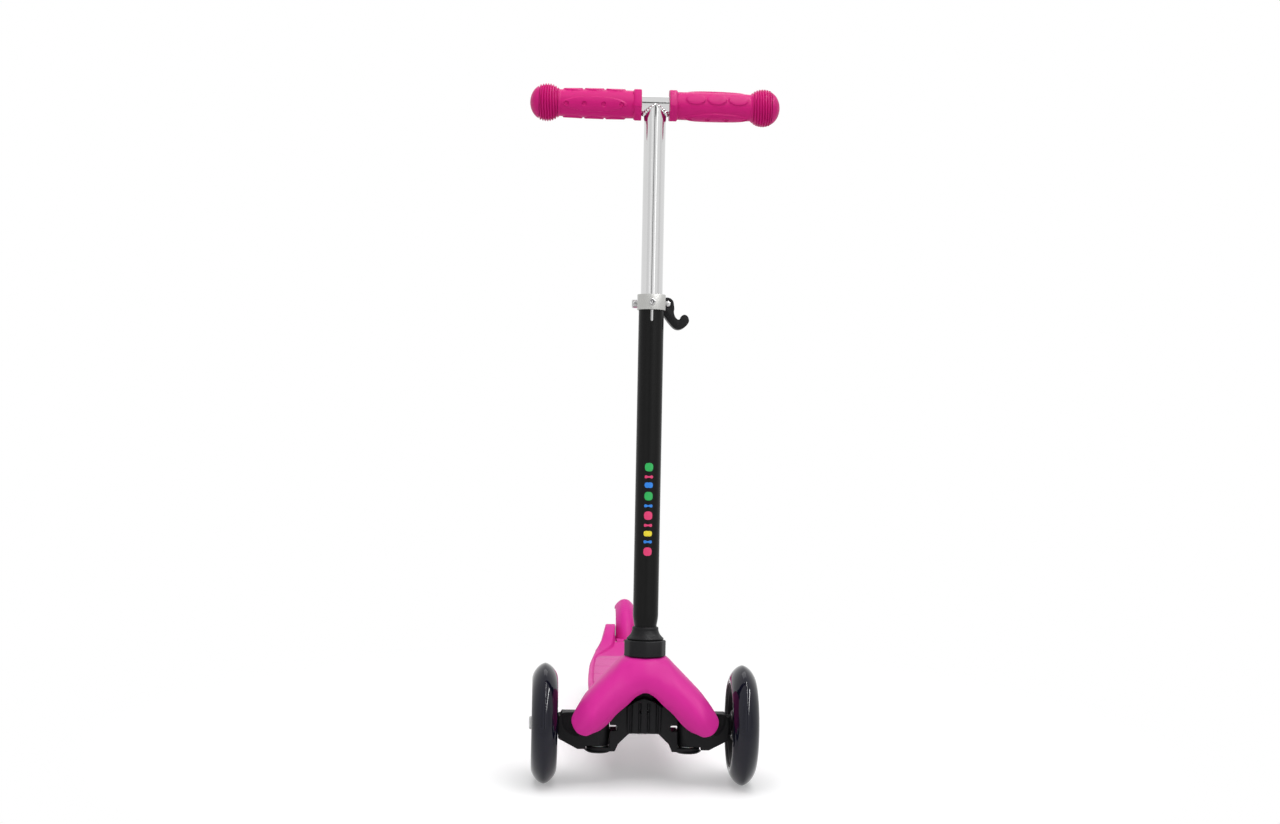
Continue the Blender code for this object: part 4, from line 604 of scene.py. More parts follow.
def softened(made, voxel, keep, swell=0.0):
    """The object as one skin with cast, rounded edges, swollen by a little to make up for the easing."""
    skin = made.modifiers.new("Skin", "REMESH")
    skin.mode = "VOXEL"
    skin.voxel_size = voxel
    ease = made.modifiers.new("Ease", "SMOOTH")
    ease.factor = 0.5
    ease.iterations = 3
    if swell > 0:
        grow = made.modifiers.new("Grow", "DISPLACE")
        grow.strength = swell
        grow.mid_level = 0.0
    thin = made.modifiers.new("Thin", "DECIMATE")
    thin.ratio = keep
    return baked(made, math.radians(60))


def stands_for(made, *nodes):
    """The piece takes the place of these CAD nodes, on their body."""
    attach(made, NODE_BODY[nodes[0]])
    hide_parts(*nodes)
    return made


def copied(node):
    """A loose copy of a CAD node's mesh, to be worked on."""
    made = bpy.data.objects.new(node + "_skin", frame["nodes"][node].data.copy())
    bm = bmesh.new()
    bm.from_mesh(made.data)
    bmesh.ops.remove_doubles(bm, verts=bm.verts, dist=SEAM / 10)
    bm.to_mesh(made.data)
    bm.free()
    made.data.materials.clear()
    made.data.materials.append(finish_for(NODE_SLOT[node]))
    bpy.context.scene.collection.objects.link(made)
    return made


def cad_profile(node, place):
    """The half section of a turned CAD node about the local Z of a place, in order."""
    back = place.inverted()
    mesh = frame["nodes"][node].data
    spots = [back @ vertex.co for vertex in mesh.vertices]
    out = max(spots, key=lambda p: p.xy.length).xy.normalized()
    corners, place_of = [], {}
    for index, p in enumerate(spots):
        if abs(p.x * out.y - p.y * out.x) > SEAM or p.xy.dot(out) < -SEAM:
            continue
        here = (p.z, max(p.xy.dot(out), 0.0))
        near = [i for i, c in enumerate(corners) if math.dist(c, here) < SEAM]
        if not near:
            corners.append(here)
        place_of[index] = near[0] if near else len(corners) - 1
    links = {i: set() for i in range(len(corners))}
    for edge in mesh.edges:
        a, b = (place_of.get(v) for v in edge.vertices)
        if a is None or b is None or a == b or corners[a][1] + corners[b][1] < SEAM:
            continue
        links[a].add(b)
        links[b].add(a)
    ends = [i for i in links if len(links[i]) == 1]
    walk = [min(ends or links, key=lambda i: corners[i])]
    while True:
        ahead = [i for i in links[walk[-1]] if i not in walk]
        if not ahead:
            break
        walk.append(ahead[0])
    return [corners[i] for i in walk]


def turned_again(node, place, ease=0.0004, steps=COARSE, field=None):
    """A turned CAD node made anew: the same section, finer round its axis, its corners broken."""
    profile = cad_profile(node, place)
    profile = eased(profile, ease, closed=profile[0][1] >= SEAM)
    return solid(node + "_fine", turned(profile, steps, field), NODE_SLOT[node], place)


def renewed(node, axis, ease=0.0004, steps=COARSE, field=None):
    """A turned CAD node made anew about an axis through its middle, in the node's stead."""
    return stands_for(turned_again(node, aim(middle(node), axis), ease, steps, field), node)


def hex_socket(made, width, low, high):
    """A hexagon socket sunk into a bolt's head along its own local Z."""
    return worked(made, [prism(polygon(6, width / 2 / math.cos(math.pi / 6)), low, high)])


def socket_bolt(node, axis, ease, width, depth):
    """A turned bolt with a hexagon socket in its head, at the far end of the axis."""
    place = aim(middle(node), axis)
    tip = extent(node, place)[1]
    bolt = turned_again(node, place, ease)
    stands_for(hex_socket(bolt, width, tip - depth, tip + OVERCUT), node)


COIL_STEPS = 20              # steps in each turn of a spring
END_TURNS = 0.9              # turns that lie close at each end
END_PITCH = 0.0013
WIRE_SIDES = 10


def coil_path(radius, low, high, turns):
    """A spring's centre line about local Z, with close end coils."""
    path = []
    free = high - low - 2 * END_TURNS * END_PITCH
    for i in range(round(turns * COIL_STEPS) + 1):
        turn = i / COIL_STEPS
        share = min(max((turn - END_TURNS) / (turns - 2 * END_TURNS), 0.0), 1.0)
        lift = min(turn, END_TURNS) * END_PITCH + max(turn - turns + END_TURNS, 0.0) * END_PITCH
        path.append(Vector((*at_angle(radius, math.tau * turn), low + lift + share * free)))
    return path


# Wheels

def tyre_section(radius, width):
    """The tyre's section: seat, side walls with a moulded ring, crown with its parting line."""
    half = width / 2
    base = radius - TYRE_CROWN
    seat = radius - TYRE_DEPTH + FIT / 3
    crown = []
    for i in range(CROWN_STEPS + 1):
        angle = math.pi * i / CROWN_STEPS
        side = math.copysign(abs(math.cos(angle)) ** CROWN_POWER, math.cos(angle))
        crown.append((-half * side, base + TYRE_CROWN * math.sin(angle) ** CROWN_POWER))
    wall = [(half - 0.0008, seat), (half - 0.0002, seat + 0.0010), (half - 0.0007, seat + 0.0016)]
    left = [(-z, r) for z, r in wall]
    return [*left, *crown, *reversed(wall)]


def hub_section(rim, width):
    """The hub's closed section: rim, web and boss, with a seat for each bearing."""
    half = width / 2 - 0.0012
    boss = BEARING_SHOULDER + BEARING_WIDTH + 2 * FIT
    pocket = BEARING_RADIUS + FIT / 2
    inner = rim - RIM_WALL
    side = [(half, rim), (half, rim - 0.0016), (half - 0.0012, rim - 0.0024), (half - 0.0014, inner + 0.0006),
            (WEB_HALF, inner - 0.0012), (WEB_HALF, BOSS_RADIUS + 0.0022), (boss - 0.0012, BOSS_RADIUS),
            (boss, BOSS_RADIUS - 0.0010), (boss, pocket), (BEARING_SHOULDER, pocket),
            (BEARING_SHOULDER, 0.0085)]
    return eased(mirrored(side), 0.0005, closed=True)


def spoke_window(rim, index):
    """One opening between two spokes, with round corners, drawn about local Z."""
    low, high = BOSS_RADIUS + 0.0026, rim - RIM_WALL - 0.0022
    pitch = math.tau / SPOKE_COUNT
    outline = []
    for radius, steps in ((low, 3), (high, 9)):
        half = pitch / 2 - math.asin(SPOKE_WIDTH / 2 / radius)
        sweep = [half * (2 * k / steps - 1) for k in range(steps + 1)]
        if radius == high:
            sweep.reverse()
        outline += [at_angle(radius, a + pitch * (index + 0.5)) for a in sweep]
    return prism(eased(outline, 0.0022, 4, closed=True), -0.03, 0.03)


def spoke_rib(rim, index):
    """A raised web that stiffens one spoke on both faces."""
    turn = Matrix.Rotation(math.tau * index / SPOKE_COUNT, 4, "Z")
    rise = WEB_HALF + 0.0028
    low, high = BOSS_RADIUS - 0.001, rim - RIM_WALL + 0.0012
    return moved(brick((low, -0.0010, -rise), (high, 0.0010, rise)), turn)


def wheel(tag, place):
    """Tyre, hub and both bearings of one wheel, about the local Z of its place."""
    low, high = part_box(f"{tag}_tyre")
    radius, width = (high.z - low.z) / 2, high.x - low.x
    rim = radius - TYRE_DEPTH - FIT / 3
    section = tyre_section(radius, width)
    stands_for(solid(f"{tag}_tyre_fine", turned(section, 128), "smoke_tyre", place, SOFTER), f"{tag}_tyre")
    hub = solid(f"{tag}_hub_fine", turned(hub_section(rim, width), FINE), "black_plastic", place)
    worked(hub, [spoke_window(rim, k) for k in range(SPOKE_COUNT)])
    worked(hub, [spoke_rib(rim, k) for k in range(SPOKE_COUNT)], "UNION")
    stands_for(hub, f"{tag}_hub")
    half = BEARING_WIDTH / 2
    races = [(half, 0.0040), (half, 0.0056), (half - 0.0005, 0.0059), (half - 0.0005, 0.0090),
             (half, 0.0093), (half, BEARING_RADIUS)]
    bearing = turned(eased(mirrored(races), 0.0003, closed=True), COARSE)
    for side in ("outer", "inner"):
        node = f"{tag}_bearing_{side}"
        stands_for(solid(node + "_fine", bearing, "zinc_steel", aim(middle(node), X_AXIS)), node)


class SCOOTER_OT_front_wheels(Operator):
    """Both steered wheels with their tyres, hubs, bearings and axle bolts"""

    bl_idname = "scooter.front_wheels"
    bl_label = "Front wheels"

    def execute(self, context):
        for tag, side in (("l", 1), ("r", -1)):
            wheel(f"front_{tag}", aim(joint_point(f"front_wheel_{tag}_spin"), X_AXIS * side))
            socket_bolt(f"front_axle_bolt_{tag}", X_AXIS * side, AXLE_EASE, AXLE_SOCKET, 0.0024)
        return {"FINISHED"}


class SCOOTER_OT_rear_wheel(Operator):
    """The rear wheel with its axle bolt and lock nut"""

    bl_idname = "scooter.rear_wheel"
    bl_label = "Rear wheel"

    def execute(self, context):
        wheel("rear", aim(joint_point("rear_wheel_spin"), X_AXIS))
        socket_bolt("rear_axle_bolt", X_AXIS, AXLE_EASE, AXLE_SOCKET, 0.0024)
        self.lock_nut("rear_axle_nut")
        return {"FINISHED"}

    def lock_nut(self, node):
        """A hexagon with its corners turned off, a collar and a bore."""
        place = aim(middle(node), -X_AXIS)
        low, high = extent(node, place)
        nut = solid(node + "_fine", prism(polygon(6, NUT_RADIUS), low, high - 0.0012), "zinc_steel", place)
        dome = turned([(low, 0), (low, 0.0067), (low + 0.0006, NUT_RADIUS), (high - 0.0019, NUT_RADIUS),
                       (high - 0.0012, 0.0068), (high - 0.0012, 0.0056), (high, 0.0052), (high, 0)], COARSE)
        collar = turned([(high - 0.0016, 0), (high - 0.0016, 0.0056), (high - 0.0004, 0.0056),
                         (high, 0.0050), (high, 0)], COARSE)
        bore = rod(low - OVERCUT, high + OVERCUT, 0.0040)
        for shape, operation in ((dome, "INTERSECT"), (collar, "UNION"), (bore, "DIFFERENCE")):
            worked(nut, [shape], operation)
        stands_for(nut, node)


class SCOOTER_OT_steering(Operator):
    """The axle carrier, knuckles, kingpins, bushes, tie rod, lean pivot and centring springs"""

    bl_idname = "scooter.steering"
    bl_label = "Steering"

    def execute(self, context):
        for node, voxel in (("axle_carrier", 0.00055), ("knuckle_l", 0.00055), ("knuckle_r", 0.00055),
                            ("tie_rod", 0.0004)):
            piece = softened(copied(node), voxel, 0.4, 0.00012)
            if node.startswith("knuckle"):
                worked(piece, [self.eye_wall(node[-1])], "UNION", math.radians(60))
            stands_for(piece, node)
        for tag in ("l", "r"):
            renewed(f"kingpin_{tag}", Z_AXIS)
            renewed(f"kingpin_cap_{tag}", -Z_AXIS, steps=FINE, field=self.wide_rim)
            for height in ("lower", "upper"):
                renewed(f"knuckle_bush_{height}_{tag}", Z_AXIS)
            node = f"lean_spring_{tag}"
            low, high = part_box(node)
            path = coil_path((high.x - low.x) / 2 - LEAN_WIRE, 0, high.z - low.z - 2 * LEAN_WIRE, 5.5)
            place = Matrix.Translation((middle(node).x, middle(node).y, low.z + LEAN_WIRE))
            wire = tube_along(path, LEAN_WIRE, WIRE_SIDES)
            stands_for(solid(node + "_fine", wire, "zinc_steel", place), node)
        renewed("lean_pivot_bolt", Y_AXIS, 0.0006)
        for node in ("lean_bush_front", "lean_bush_rear"):
            renewed(node, Y_AXIS)
        return {"FINISHED"}

    def eye_wall(self, tag):
        """The round outer wall of a knuckle's eye, close to the carrier's face."""
        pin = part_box(f"kingpin_{tag}")
        x, y = (pin[0].x + pin[1].x) / 2, (pin[0].y + pin[1].y) / 2
        low, high, bore, rim = EYE_LOW, EYE_HIGH, 0.0080, 0.0104
        verts, faces = turned([(low, bore), (low, rim), (low + 0.0004, EYE_RADIUS),
                               (high - 0.0004, EYE_RADIUS), (high, rim), (high, bore)], FINE)
        return [(vx + x, vy + y, vz) for vx, vy, vz in verts], faces

    def wide_rim(self, height, radius, angle):
        """The kingpin cap's rim, spread over the knuckle's eye."""
        return height, radius * 1.16 if radius > 0.0075 else radius


# Front cover

def cover_net():
    """Points of the cover, front lip to rear edge, centre to side.

    Each is (x, distance behind the axle, height) in millimetres.
    """
    return [
        [(0, -27, 96.2), (8.9, -27.5, 92.5), (17.7, -28.5, 84.1), (27.6, -30, 75.7), (36.4, -31, 66),
         (44.2, -32, 59.7), (52.1, -33, 56.6)],
        [(0, -31, 101.4), (10, -31.5, 98), (19, -33, 90.8), (29, -36, 82.5), (38.5, -39, 73.4),
         (48, -41, 63.5), (58.9, -38, 54.9)],
        [(0, -31.5, 112), (11, -31.5, 109), (20.5, -33.5, 102), (31.5, -37.5, 93.5), (42.5, -42, 83.5),
         (53.5, -46, 71), (67, -41, 58.5)],
        [(0, -28, 121), (11.5, -28, 118.5), (21.5, -29, 112.5), (33, -33.5, 104), (45, -39, 93),
         (57.5, -44, 78.5), (72, -38, 65)],
        [(0, -22.5, 127.8), (12, -21.5, 127), (22, -21, 122.5), (33.5, -24, 112.5), (46, -29.5, 101),
         (59, -35, 87), (73.2, -32, 71.5)],
        [(0, -14, 129.6), (12, -13, 129.4), (21.8, -11, 127.8), (32.5, -13, 117.5), (45.5, -17, 106),
         (58, -22, 93.5), (68.6, -24, 79.8)],
        [(0, 2, 129.2), (12, 2, 129), (21.5, 2, 128.2), (31, 2, 119.8), (43.5, 0, 107.5), (54, -4, 97),
         (61, -6, 89)],
        [(0, 20, 127.6), (12, 20, 127.4), (21.5, 19, 126), (31, 20, 116.5), (42, 20, 104.8), (51.5, 19, 94.5),
         (57.8, 18, 87)],
        [(0, 42, 116.5), (12, 42, 115.8), (22, 42, 112.5), (31.5, 43, 104.5), (41.5, 44, 95),
         (50.5, 44, 86.2), (56.5, 43, 77.5)],
        [(0, 68, 96.5), (12.5, 68, 96), (23, 69, 93.5), (32.5, 70, 89), (41.5, 71, 83.5), (49.5, 71, 78),
         (55.5, 70, 69.5)],
        [(0, 97, 75.6), (13, 97, 75.6), (24, 97, 75.6), (33.5, 97, 75.5), (42, 97, 75.4), (48.5, 97, 74.6),
         (51.8, 97, 67)],
    ]


def cover_rows(across, along):
    """Rows of points over the whole cover, smooth through the net."""
    rows = []
    for net_row in cover_net():
        half = [Vector((x / 1000, AXLE.y + d / 1000, z / 1000)) for x, d, z in net_row]
        other = [Vector((-p.x, p.y, p.z)) for p in reversed(half[1:])]
        rows.append(through(other + half, across))
    columns = [through(list(column), along) for column in zip(*rows)]
    return [list(row) for row in zip(*columns)]


class SCOOTER_OT_front_cover(Operator):
    """The arched magenta cover over the axle and the chassis block under it"""

    bl_idname = "scooter.front_cover"
    bl_label = "Front cover"

    def execute(self, context):
        verts, rows = numbered(cover_rows(6, 6))
        cover = solid("front_cover_fine", (verts, strips(rows, wrap=False)), "pink_plastic", None, SOFTER)
        bm = bmesh.new()
        bm.from_mesh(cover.data)
        top = max(bm.faces, key=lambda f: f.calc_center_median().z)
        if top.normal.z < 0:
            bmesh.ops.reverse_faces(bm, faces=bm.faces)
        bm.to_mesh(cover.data)
        bm.free()
        wall = cover.modifiers.new("Wall", "SOLIDIFY")
        wall.thickness = 0.003
        wall.offset = -1
        baked(cover)
        rounded(cover, 0.0010, 50, SOFTER)
        worked(cover, [moved(rod(-0.02, 0.02, 0.0141, FINE), STEM)], sharp=SOFTER)
        stands_for(cover, "front_cover")
        stands_for(softened(copied("head_core"), 0.0008, 0.5), "head_core")
        return {"FINISHED"}


# Board

DECK_START = 0.0973
DECK_HALF = 0.0520
DECK_TOP = 0.0740
DECK_LOW = 0.0600
DECK_RIM = 0.0080
DECK_LIP = 0.0056
BRAKE_D = joint_point("brake_press").y - AXLE.y
BRAKE_Z = joint_point("brake_press").z
REAR_D = joint_point("rear_wheel_spin").y - AXLE.y
REAR_Z = joint_point("rear_wheel_spin").z
FLAT_END = BRAKE_D - 0.058
PIN_BORE = 0.0023            # the brake pin's holes
FORK_HALF = 0.0140
FORK_START = BRAKE_D - 0.0080
BAY_COUNT = 6                # pockets under the board, on each side
BAY_MARGIN = 0.0080


EAR_FACE = 0.0150            # the ears' inner faces
EAR_CREST = 0.0256
EAR_SIDE = 0.0305


def deck_sections():
    """Half sections of the board, by distance behind the front axle, as (x, height) corners.

    The fork's rows give the share of the way from the brake's pin to the axle, the widths of the
    ears and of the gap between them, and five heights from the line between pin and axle: the
    ear's crest, the gap's floor, and the ear's side, belly and foot.
    """
    sections = []
    brow = DECK_TOP + 0.0015
    taper = ((0.0, 0.996), (0.175, 1.0), (0.34, 0.992), (0.535, 0.962), (0.77, 0.912), (1.0, 0.821))
    for share, width in taper:
        w = DECK_HALF * width
        sections.append((DECK_START + (FLAT_END - DECK_START) * share,
                         [(0, DECK_TOP), (w - DECK_LIP, DECK_TOP), (w - DECK_LIP + 0.0012, brow),
                          (w - 0.0020, brow), (w, brow - 0.0022), (w, (DECK_TOP + DECK_LOW) / 2),
                          (w - DECK_RIM / 2, DECK_LOW), (0, DECK_LOW)]))
    fork = ((-0.333, 1.27, 1.25, 0.0020, -0.0020, -0.0050, -0.0130, DECK_LOW - BRAKE_Z),
            (-0.053, 1.08, 0.98, 0.0130, 0.0040, -0.0015, -0.0130, -0.0260),
            (0.20, 1.0, 0.98, 0.0250, 0.0140, 0.0060, -0.0070, -0.0260),
            (0.42, 0.97, 0.98, 0.0300, 0.0200, 0.0120, -0.0030, -0.0240),
            (0.73, 0.92, 0.98, 0.0260, 0.0200, 0.0150, 0.0000, -0.0190),
            (1.01, 0.89, 0.98, 0.0195, 0.0140, 0.0130, -0.0020, -0.0130),
            (1.21, 0.85, 0.98, 0.0065, 0.0040, 0.0030, -0.0040, -0.0085))
    for share, spread, inner, ear, top, side, belly, low in fork:
        line = BRAKE_Z - (BRAKE_Z - REAR_Z) * min(max(share, 0), 1)
        outer, edge = EAR_CREST * spread, EAR_SIDE * spread
        lean = 0.0015 * spread if share < 0 else -0.0012
        face = EAR_FACE * inner
        sections.append((BRAKE_D + (REAR_D - BRAKE_D) * share,
                         [(0, line + top), (face, line + top), (face + lean, line + ear),
                          (outer, line + ear), (edge, line + side), (edge, line + belly),
                          (edge - DECK_RIM / 3, line + low), (0, line + low)]))
    return sections


def deck_rings():
    """Fine closed rings along the board, smooth through its sections."""
    sections = deck_sections()
    lanes = [through([Vector((half[corner][0], d, half[corner][1])) for d, half in sections], 5)
             for corner in range(8)]
    rings = []
    for spots in zip(*lanes):
        half = [(p.x, p.z) for p in spots]
        half[0], half[-1] = (0.0, half[0][1]), (0.0, half[-1][1])
        curve = eased(half, 0.0014 if spots[0].y > FLAT_END + 0.030 else 0.0032, 3)
        loop = curve + [(-x, z) for x, z in reversed(curve[1:-1])]
        rings.append([(x, AXLE.y + spots[0].y, z) for x, z in loop])
    return rings


def half_width(d):
    """Half the board's width at a distance behind the front axle."""
    spots = [(distance, half[4][0]) for distance, half in deck_sections()[:7]]
    for (d0, w0), (d1, w1) in zip(spots, spots[1:]):
        if d <= d1:
            return w0 + (w1 - w0) * (d - d0) / (d1 - d0)
    return spots[-1][1]


class SCOOTER_OT_board(Operator):
    """The board with its fork, the tread sheet, the keel plate and its screws"""

    bl_idname = "scooter.board"
    bl_label = "Board"

    def execute(self, context):
        deck = solid("deck_fine", lofted(deck_rings()), "pink_plastic")
        slot = brick((-FORK_HALF, AXLE.y + FORK_START, 0), (FORK_HALF, AXLE.y + REAR_D + 0.06, 0.2))
        worked(deck, [slot])
        rest = []
        for side in (1, -1):
            boss = rod(0.0108, 0.017, 0.0060)
            pad = turned([(0.016, 0), (0.016, 0.0082), (0.0272, 0.0082), (0.0277, 0.0077), (0.0277, 0)],
                         COARSE)
            seat = aim(joint_point("rear_wheel_spin"), X_AXIS * side)
            rest += [moved(shape, seat) for shape in (boss, pad)]
        worked(deck, rest, "UNION")
        holes = []
        for name, radius, reach in (("rear_wheel_spin", 0.0042, 0.04), ("brake_press", PIN_BORE, 0.0288)):
            holes.append(moved(rod(-reach, reach, radius), aim(joint_point(name), X_AXIS)))
        pitch = (FLAT_END - DECK_START - BAY_MARGIN) / BAY_COUNT
        for bay in range(BAY_COUNT):
            start = DECK_START + BAY_MARGIN + pitch * bay
            end = start + pitch - 0.0035
            outer = half_width(end) - 0.007
            for low, high in ((0.0275, outer), (-outer, -0.0275)):
                holes.append(brick((low, AXLE.y + start, 0.05), (high, AXLE.y + end, DECK_TOP - 0.003)))
        worked(deck, holes)
        stands_for(deck, "deck")
        stands_for(self.tread_sheet(), "tread_mat")
        keel_slots = frame["nodes"]["deck_keel"].data.materials
        keel_slots.clear()
        keel_slots.append(finish_for("zinc_steel"))
        for node in ("keel_screw_1", "keel_screw_2"):
            socket_bolt(node, -Z_AXIS, 0.0005, 0.0030, 0.0014)
        return {"FINISHED"}

    def tread_sheet(self):
        """The thin sheet let into the board, with fine grooves and raised cross ribs."""
        low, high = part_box("tread_mat")
        start, end = low.y - AXLE.y, high.y - AXLE.y
        wide, edge = 0.0466, 0.0004
        rings = []
        ribs = round((end - start) / 0.0008)
        for k in range(ribs + 1):
            d = start + (end - start) * k / ribs
            w = half_width(d) - DECK_LIP - 0.0004
            shut = min((d - start) / 0.010, (end - d) / 0.014, 1.0)
            w -= 0.010 * (1 - math.sqrt(max(1 - (1 - shut) ** 2, 0.0)))
            fine = 0.5 + 0.5 * math.cos(math.tau * (d - start) / 0.0032)
            groove = abs((d - start + wide / 2) % wide - wide / 2)
            top = high.z - (0.0 if groove < 0.0010 else 0.0007 + 0.00025 * (1 - fine))
            rings.append([(-w, d, low.z), (w, d, low.z), (w, d, top - edge), (w - edge, d, top),
                          (-w + edge, d, top), (-w, d, top - edge)])
        place = Matrix.Translation((0, AXLE.y, 0))
        return solid("tread_mat_fine", lofted(rings), "tread", place, math.radians(60))


# Brake

FENDER_HALF = 0.0125
FENDER_DROP = 0.0108
FENDER_WALL = 0.0026
FENDER_RISE = 0.022
FENDER_CREST = 0.6
FENDER_TAIL_RISE = 0.5
BRAKE_WIRE = 0.0006
EYE_REACH = 0.0052           # the fender's eye round its pin
FENDER_STEPS = 100
FENDER_SHARP = math.radians(45)
FENDER_FRONT = math.atan2(REAR_D - BRAKE_D, BRAKE_Z - REAR_Z) - math.radians(4.2)
FENDER_SWEEP = math.radians(97.0)


def fender_section(half_width, drop):
    """Half the fender's section, as (x, depth below the crest), smooth from crest to edge."""
    shares = [(0, 0), (0.25, 0.05), (0.50, 0.21), (0.75, 0.52), (0.92, 0.80), (1, 1)]
    half = [Vector((half_width * x, drop * z)) for x, z in shares]
    run = [Vector((-p.x, p.y)) for p in reversed(half[1:])] + half
    return through(run, 4)[20:]


def on_arch(x, radius, angle):
    """A point over the rear wheel; the angle is zero at the top and grows forwards."""
    return Vector((x, AXLE.y + REAR_D - radius * math.sin(angle), REAR_Z + radius * math.cos(angle)))


class SCOOTER_OT_brake(Operator):
    """The sprung rear fender with its rubbing shoe, pin and torsion spring"""

    bl_idname = "scooter.brake"
    bl_label = "Brake"

    def execute(self, context):
        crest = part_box("rear_tyre")[1].z - REAR_Z + FENDER_RISE
        rings = []
        for k in range(FENDER_STEPS + 1):
            angle = FENDER_FRONT - FENDER_SWEEP * k / FENDER_STEPS
            behind = max(0.0, (k / FENDER_STEPS - FENDER_CREST) / (1 - FENDER_CREST))
            outer = fender_section(FENDER_HALF * (1.03 - 0.13 * k / FENDER_STEPS),
                                   FENDER_DROP * (1 - FENDER_TAIL_RISE * behind))
            taper = min(k / 4, (FENDER_STEPS - k) / 4, 1.0)
            ease = 1 - (1 - taper) ** 2
            span = math.radians(32) - angle
            ribs = math.sin(span * crest / 0.0022 * math.pi) if 0 < span < math.radians(34) else 0.0
            loop = []
            for p in outer:
                lift = 0.0003 * ribs * max(1 - (p.x / 0.0075) ** 2, 0.0) ** 0.5 if p.x < 0.0075 else 0.0
                loop.append((p.x, crest - p.y + lift - 0.0006 * (1 - ease)))
            inner = [(p.x * (1 - FENDER_WALL / outer[-1].x), crest - p.y - FENDER_WALL + 0.0004 * (1 - ease))
                     for p in outer]
            inner[-1] = (inner[-1][0], loop[-1][1])
            half = loop + list(reversed(inner))
            whole = half + [(-x, r) for x, r in reversed(half[1:-1])]
            rings.append([on_arch(x, r, angle) for x, r in whole])
        fender = solid("brake_fender_fine", lofted(rings), "pink_plastic", None, FENDER_SHARP)
        pivot = joint_point("brake_press")
        arm = on_arch(0, crest - 0.001, FENDER_FRONT)
        outline = [(pivot.y + EYE_REACH * math.cos(a), pivot.z + EYE_REACH * math.sin(a))
                   for a in (math.radians(t) for t in range(95, 336, 10))]
        outline += [(arm.y + 0.0015, arm.z - 0.0032), (arm.y + 0.0040, arm.z + 0.0020),
                    (arm.y, arm.z + 0.0010)]
        eye = prism(outline, -FENDER_HALF, FENDER_HALF)
        across = Matrix(((0, 0, 1, 0), (1, 0, 0, 0), (0, 1, 0, 0), (0, 0, 0, 1)))
        worked(fender, [moved(eye, across)], "UNION", FENDER_SHARP)
        seat = aim(pivot, X_AXIS)
        room = brick((-0.0042, pivot.y - 0.009, pivot.z - 0.0085),
                     (0.0042, pivot.y + 0.0046, pivot.z + 0.0070))
        worked(fender, [moved(rod(-0.02, 0.02, PIN_BORE), seat), room], sharp=FENDER_SHARP)
        stands_for(fender, "brake_fender")
        self.shoe(crest)
        renewed("brake_pin", X_AXIS)
        low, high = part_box("brake_spring")
        path = coil_path(0.0034, low.x + BRAKE_WIRE, high.x - BRAKE_WIRE, 5.0)
        tail = path[-1] + Vector((0.0006, -0.0008, 0))
        path = [path[0] + Vector((0, 0.0010, 0))] + path + [tail]
        spring = solid("brake_spring_fine", tube_along(path, BRAKE_WIRE, WIRE_SIDES), "zinc_steel",
                       aim((0, pivot.y, pivot.z), X_AXIS))
        stands_for(spring, "brake_spring")
        return {"FINISHED"}

    def shoe(self, crest):
        """The ribbed rubber block that rubs on the tyre."""
        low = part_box("rear_tyre")[1].z - REAR_Z + 0.0060
        high = crest - FENDER_WALL - FIT
        start = FENDER_FRONT - math.radians(40)
        rings = []
        for k in range(61):
            angle = start - math.radians(30) * k / 60
            rib = 0.0007 * (0.5 + 0.5 * math.cos(math.tau * k / 10))
            half, foot = 0.0070, low + 0.0007 - rib
            section = [(-half, foot), (half, foot), (half, high - 0.0038), (half * 0.5, high - 0.0010),
                       (-half * 0.5, high - 0.0010), (-half, high - 0.0038)]
            rings.append([on_arch(x, r, angle) for x, r in eased(section, 0.0006, 2, closed=True)])
        stands_for(solid("brake_shoe_fine", lofted(rings), "shoe_rubber", None, SOFTER), "brake_shoe")


# Stem

def stem_span(node):
    """Lowest and highest place of a CAD node along the stem."""
    return extent(node, STEM)


def button_hole(depth):
    """The lock button's hole, from the stem's middle backwards."""
    return moved(rod(0, depth, BUTTON_BORE), TO_BUTTON)


